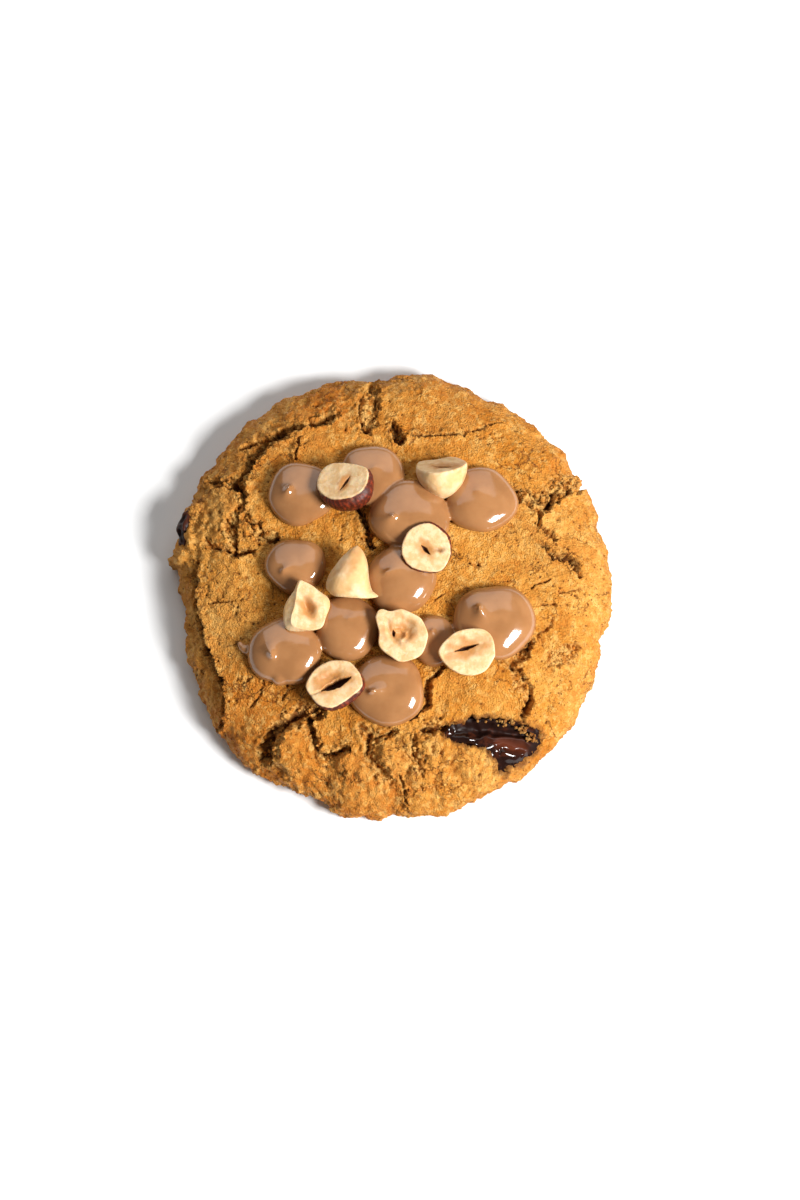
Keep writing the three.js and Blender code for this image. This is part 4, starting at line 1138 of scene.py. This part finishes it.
def kernel_shape(face, deep, narrowing, swells):
    """Corners of a smooth kernel in its own frame, as a lathe round its face's outline."""
    loop = smooth_loop(face, KERNEL_SIDES)
    if np.cross(loop, np.roll(loop, -1, axis=0)).sum() < 0:
        loop = loop[::-1]
    middle = loop.mean(axis=0)
    spoke = loop - middle
    angle = np.degrees(np.arctan2(spoke[:, 1], spoke[:, 0]))
    swell_out = np.zeros(KERNEL_SIDES)
    for at, size, spread in swells:
        turn = np.abs((angle - at + 540) % 360 - 180)
        swell_out += size * np.exp(-0.5 * (turn / spread) ** 2)
    outward = spoke / np.linalg.norm(spoke, axis=1, keepdims=True)
    rings = [middle[None, :] + spoke * share for share in np.linspace(0, 0.95, FACE_RINGS + 1)[1:]]
    levels = [0.0] * FACE_RINGS
    for bend in np.radians((60, 35, 12)):
        rings.append(loop - outward * RIM_ROUND * (1 - np.cos(bend)))
        levels.append(-RIM_ROUND * (1 - np.sin(bend)))
    start, end = narrowing
    for level in np.linspace(0, 1, BODY_RINGS + 2)[1:-1]:
        level = math.sin(level * math.pi / 2)
        width = (1 - level ** start) ** end
        past_face = swell_out * math.sin(math.pi * min(1, level ** 0.6)) ** 0.7
        rings.append(middle + (spoke + outward * past_face[:, None]) * width)
        levels.append(-RIM_ROUND - (deep - RIM_ROUND) * level)
    flat = np.concatenate([[middle], *rings, [middle]])
    height = np.concatenate([[0], np.repeat(levels, KERNEL_SIDES), [-deep]])
    return np.column_stack([flat, height]), len(rings)


def face_ellipse(points, at_x, at_y, turn, long, wide):
    """How far each point lies from the middle of an ellipse on the face: 1 on its edge."""
    cos, sin = math.cos(math.radians(turn)), math.sin(math.radians(turn))
    along = (points[:, 0] - at_x) * cos + (points[:, 1] - at_y) * sin
    across = (points[:, 1] - at_y) * cos - (points[:, 0] - at_x) * sin
    return along, across, 2 * np.hypot(along / long, across / wide)


def kernel_piece(number, at, facing, slit, hollow, lines, skin, **shape):
    """One hazelnut piece, its face carved, its skin ridged, and set in its place."""
    points, rings = kernel_shape(**shape)
    seed = 40 + number * 5
    on_face = smooth_step(points[:, 2], -1.0, -0.05)
    below_face = -points[:, 2]
    dip, pith, stain = (np.zeros(len(points)) for _ in range(3))
    # The hollow is painted tan: partly painted shade.
    if hollow:
        *place, deep = hollow
        reach = face_ellipse(points, *place)[2]
        dip += deep * (1 - smooth_step(reach, 0, 1.1))
        stain = 1 - smooth_step(reach + 0.8 * grain(points, 2.0, seed + 1), 0.45, 1.45)
    if slit:
        *place, deep = slit
        along, across, _ = face_ellipse(points, *place)
        ragged = 1 + 0.45 * grain(points, 1.0, seed)
        leaf = 1 - np.abs(2 * along / slit[3]) ** 1.6
        reach = 2 * np.abs(across) / (slit[4] * ragged * np.clip(leaf, 0.02, 1))
        reach = np.where(leaf > 0, reach, 9)
        dip += deep * np.sqrt(np.clip(1 - reach ** 2, 0, 1)) * np.clip(leaf, 0, 1) ** 0.5
        # Pith, with painted shade, dark inside the slit's cavity.
        pith = 1 - smooth_step(reach, 0.7, 1.15)
        beside = np.exp(-(across / (0.5 * slit[4] + 0.45)) ** 2)
        stain = np.maximum(stain, beside * smooth_step(leaf, -0.5, 0.1))
    # Grooves on the face are stained tan, the browner ones also painted dark with shade.
    for route, rise, wide, brown in lines:
        away, passed, _ = along_route(points[:, 0], points[:, 1], route)
        ridge = np.exp(-(away / wide) ** 2) * np.sin(np.pi * np.clip(passed, 0.06, 0.94)) ** 0.4
        dip -= rise * ridge
        stain = np.maximum(stain, min(1, 1.6 * brown) * ridge)
        pith = np.maximum(pith, max(0, brown - 0.4) * ridge)
    rubbed = 0.6 * smooth_step(grain(points, 5, seed + 1) + 0.3 * grain(points, 1.5, seed), 0.05, 0.4)
    stain = np.where(on_face > 0.5, stain, rubbed)
    points[:, 2] -= on_face * dip
    uneven = 0.14 * grain(points, 3.0, seed + 2) + 0.06 * grain(points, 1.1, seed + 3)
    points += uneven[:, None]
    ragged_edge = 0.14 + 0.22 * grain(points, 1.6, seed + 4)
    skinned = skin * smooth_step(below_face - ragged_edge, 0.0, 0.1)
    ridges = np.sin(30 * np.arctan2(points[:, 1], points[:, 0]) + 7 * grain(points, 2.2, seed))
    outward = points / np.maximum(np.linalg.norm(points, axis=1, keepdims=True), 0.1)
    points += outward * (skinned * (0.1 + 0.06 * ridges))[:, None]
    placed = points @ kernel_turn(facing).T + at
    piece = new_piece(f"hazelnut_piece_{number}", placed, lathe_faces(KERNEL_SIDES, rings))
    piece.data.flip_normals()
    paint(piece, skin=skinned, pith=pith * on_face, stain=stain, cut=on_face, streak=(ridges + 1) / 2)
    return piece


def kernel_material():
    """Ivory flesh, stained brown, with painted shade tan in its hollows and grooves and pith with
    painted shade dark in the slits, under a dark red-brown skin.
    """
    material, tree, shader = new_material("roasted_hazelnut")
    soft = metre_noise(tree, 4.0, 2.0)
    fine = metre_noise(tree, 0.8, 3.0, 0.55)
    side = mix_colour(tree, mask_from(tree, soft, 0.35, 0.62), NUT_IVORY, NUT_CREAM)
    mottle = metre_noise(tree, 1.8, 4.0, 0.6)
    face = mix_colour(tree, mask_from(tree, mottle, 0.38, 0.6), NUT_FACE, NUT_IVORY)
    flesh = mix_colour(tree, read_field(tree, "cut"), side, face)
    # Tan stain, partly painted shade in the hollows and grooves.
    stain = calculate(tree, "MULTIPLY", read_field(tree, "stain"), 0.85)
    flesh = mix_colour(tree, stain, flesh, NUT_TAN)
    # Pith and painted shade, dark in the slits.
    flesh = mix_colour(tree, read_field(tree, "pith"), flesh, PITH_DARK)
    streaks = calculate(tree, "MULTIPLY", read_field(tree, "streak"), mask_from(tree, fine, 0.35, 0.65))
    skin = mix_colour(tree, streaks, SKIN_DARK, SKIN_RED)
    colour = mix_colour(tree, read_field(tree, "skin"), flesh, skin)
    bump = add_node(tree, "ShaderNodeBump", Strength=0.5, Distance=0.3 * MM, Height=fine)
    feed(tree, shader, Base_Color=colour, Roughness=mask_from(tree, fine, 0.3, 0.7, 0.42, 0.6),
         Normal=bump.outputs["Normal"], Specular_IOR_Level=0.35, Subsurface_Weight=0.3,
         Subsurface_Radius=(1.0, 0.55, 0.3), Subsurface_Scale=1.2 * MM)
    return material


roasted_hazelnut = kernel_material()
for number, kernel in enumerate(KERNELS, 1):
    piece = kernel_piece(number, **kernel)
    piece.data.materials.append(roasted_hazelnut)
    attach(piece, "root")
    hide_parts(f"hazelnut_{number}")

# --------------------------------------------------------------- table, lights and the view
# A plain pale table under soft studio light: one softbox on the right in front, a broad pale
# panel behind, and a dim room all round. The camera looks down from a little in front, as the
# photograph does.
VIEW_ELEVATION = math.radians(77)
VIEW_DISTANCE = 0.9
VIEW_TARGET = (Vector((1.0, -3.0, 10.0)) - Vector(MIDDLE)) * MM
LENS = 108
SENSOR = 36
FLOOR_SIZE = 3.0
FLOOR_COLOUR = (0.86, 0.86, 0.86, 1)
KEY_FROM = Vector((0.66, -0.35, 0.68))
KEY_SIZE = (0.38, 0.30)
KEY_POWER = 19.8
PANEL_FROM = Vector((-0.12, 1.02, 0.86))
PANEL_SIZE = (1.9, 1.5)
PANEL_POWER = 9.5
ROOM_COLOUR = (1.0, 0.98, 0.95, 1)
ROOM_STRENGTH = 0.13

floor_half = FLOOR_SIZE / 2
floor_mesh = bpy.data.meshes.new("table")
floor_mesh.from_pydata([(-floor_half, -floor_half, 0), (floor_half, -floor_half, 0),
                        (floor_half, floor_half, 0), (-floor_half, floor_half, 0)], [], [(0, 1, 2, 3)])
table = bpy.data.objects.new("table", floor_mesh)
bpy.context.scene.collection.objects.link(table)
table_material, table_tree, table_shader = new_material("pale_table")
feed(table_tree, table_shader, Base_Color=FLOOR_COLOUR, Roughness=0.7)
table.data.materials.append(table_material)

for name, place, size, power in (("softbox", KEY_FROM, KEY_SIZE, KEY_POWER),
                                 ("panel", PANEL_FROM, PANEL_SIZE, PANEL_POWER)):
    light = bpy.data.lights.new(name, "AREA")
    light.shape = "RECTANGLE"
    light.size, light.size_y = size
    light.energy = power
    lamp = bpy.data.objects.new(name, light)
    lamp.location = place
    lamp.rotation_euler = (-place).to_track_quat("-Z", "Y").to_euler()
    bpy.context.scene.collection.objects.link(lamp)

world = bpy.data.worlds.new("pale_room")
world.use_nodes = True
feed(world.node_tree, world.node_tree.nodes["Background"], Color=ROOM_COLOUR,
     Strength=ROOM_STRENGTH)
bpy.context.scene.world = world
bpy.context.scene.view_settings.view_transform = "Standard"

camera_data = bpy.data.cameras.new("camera")
camera_data.lens = LENS
camera_data.sensor_width = SENSOR
camera_data.sensor_fit = "AUTO"
camera = bpy.data.objects.new("camera", camera_data)
towards_camera = Vector((0, -math.cos(VIEW_ELEVATION), math.sin(VIEW_ELEVATION)))
camera.location = VIEW_TARGET + towards_camera * VIEW_DISTANCE
camera.rotation_euler = (-towards_camera).to_track_quat("-Z", "Y").to_euler()
bpy.context.scene.collection.objects.link(camera)
bpy.context.scene.camera = camera
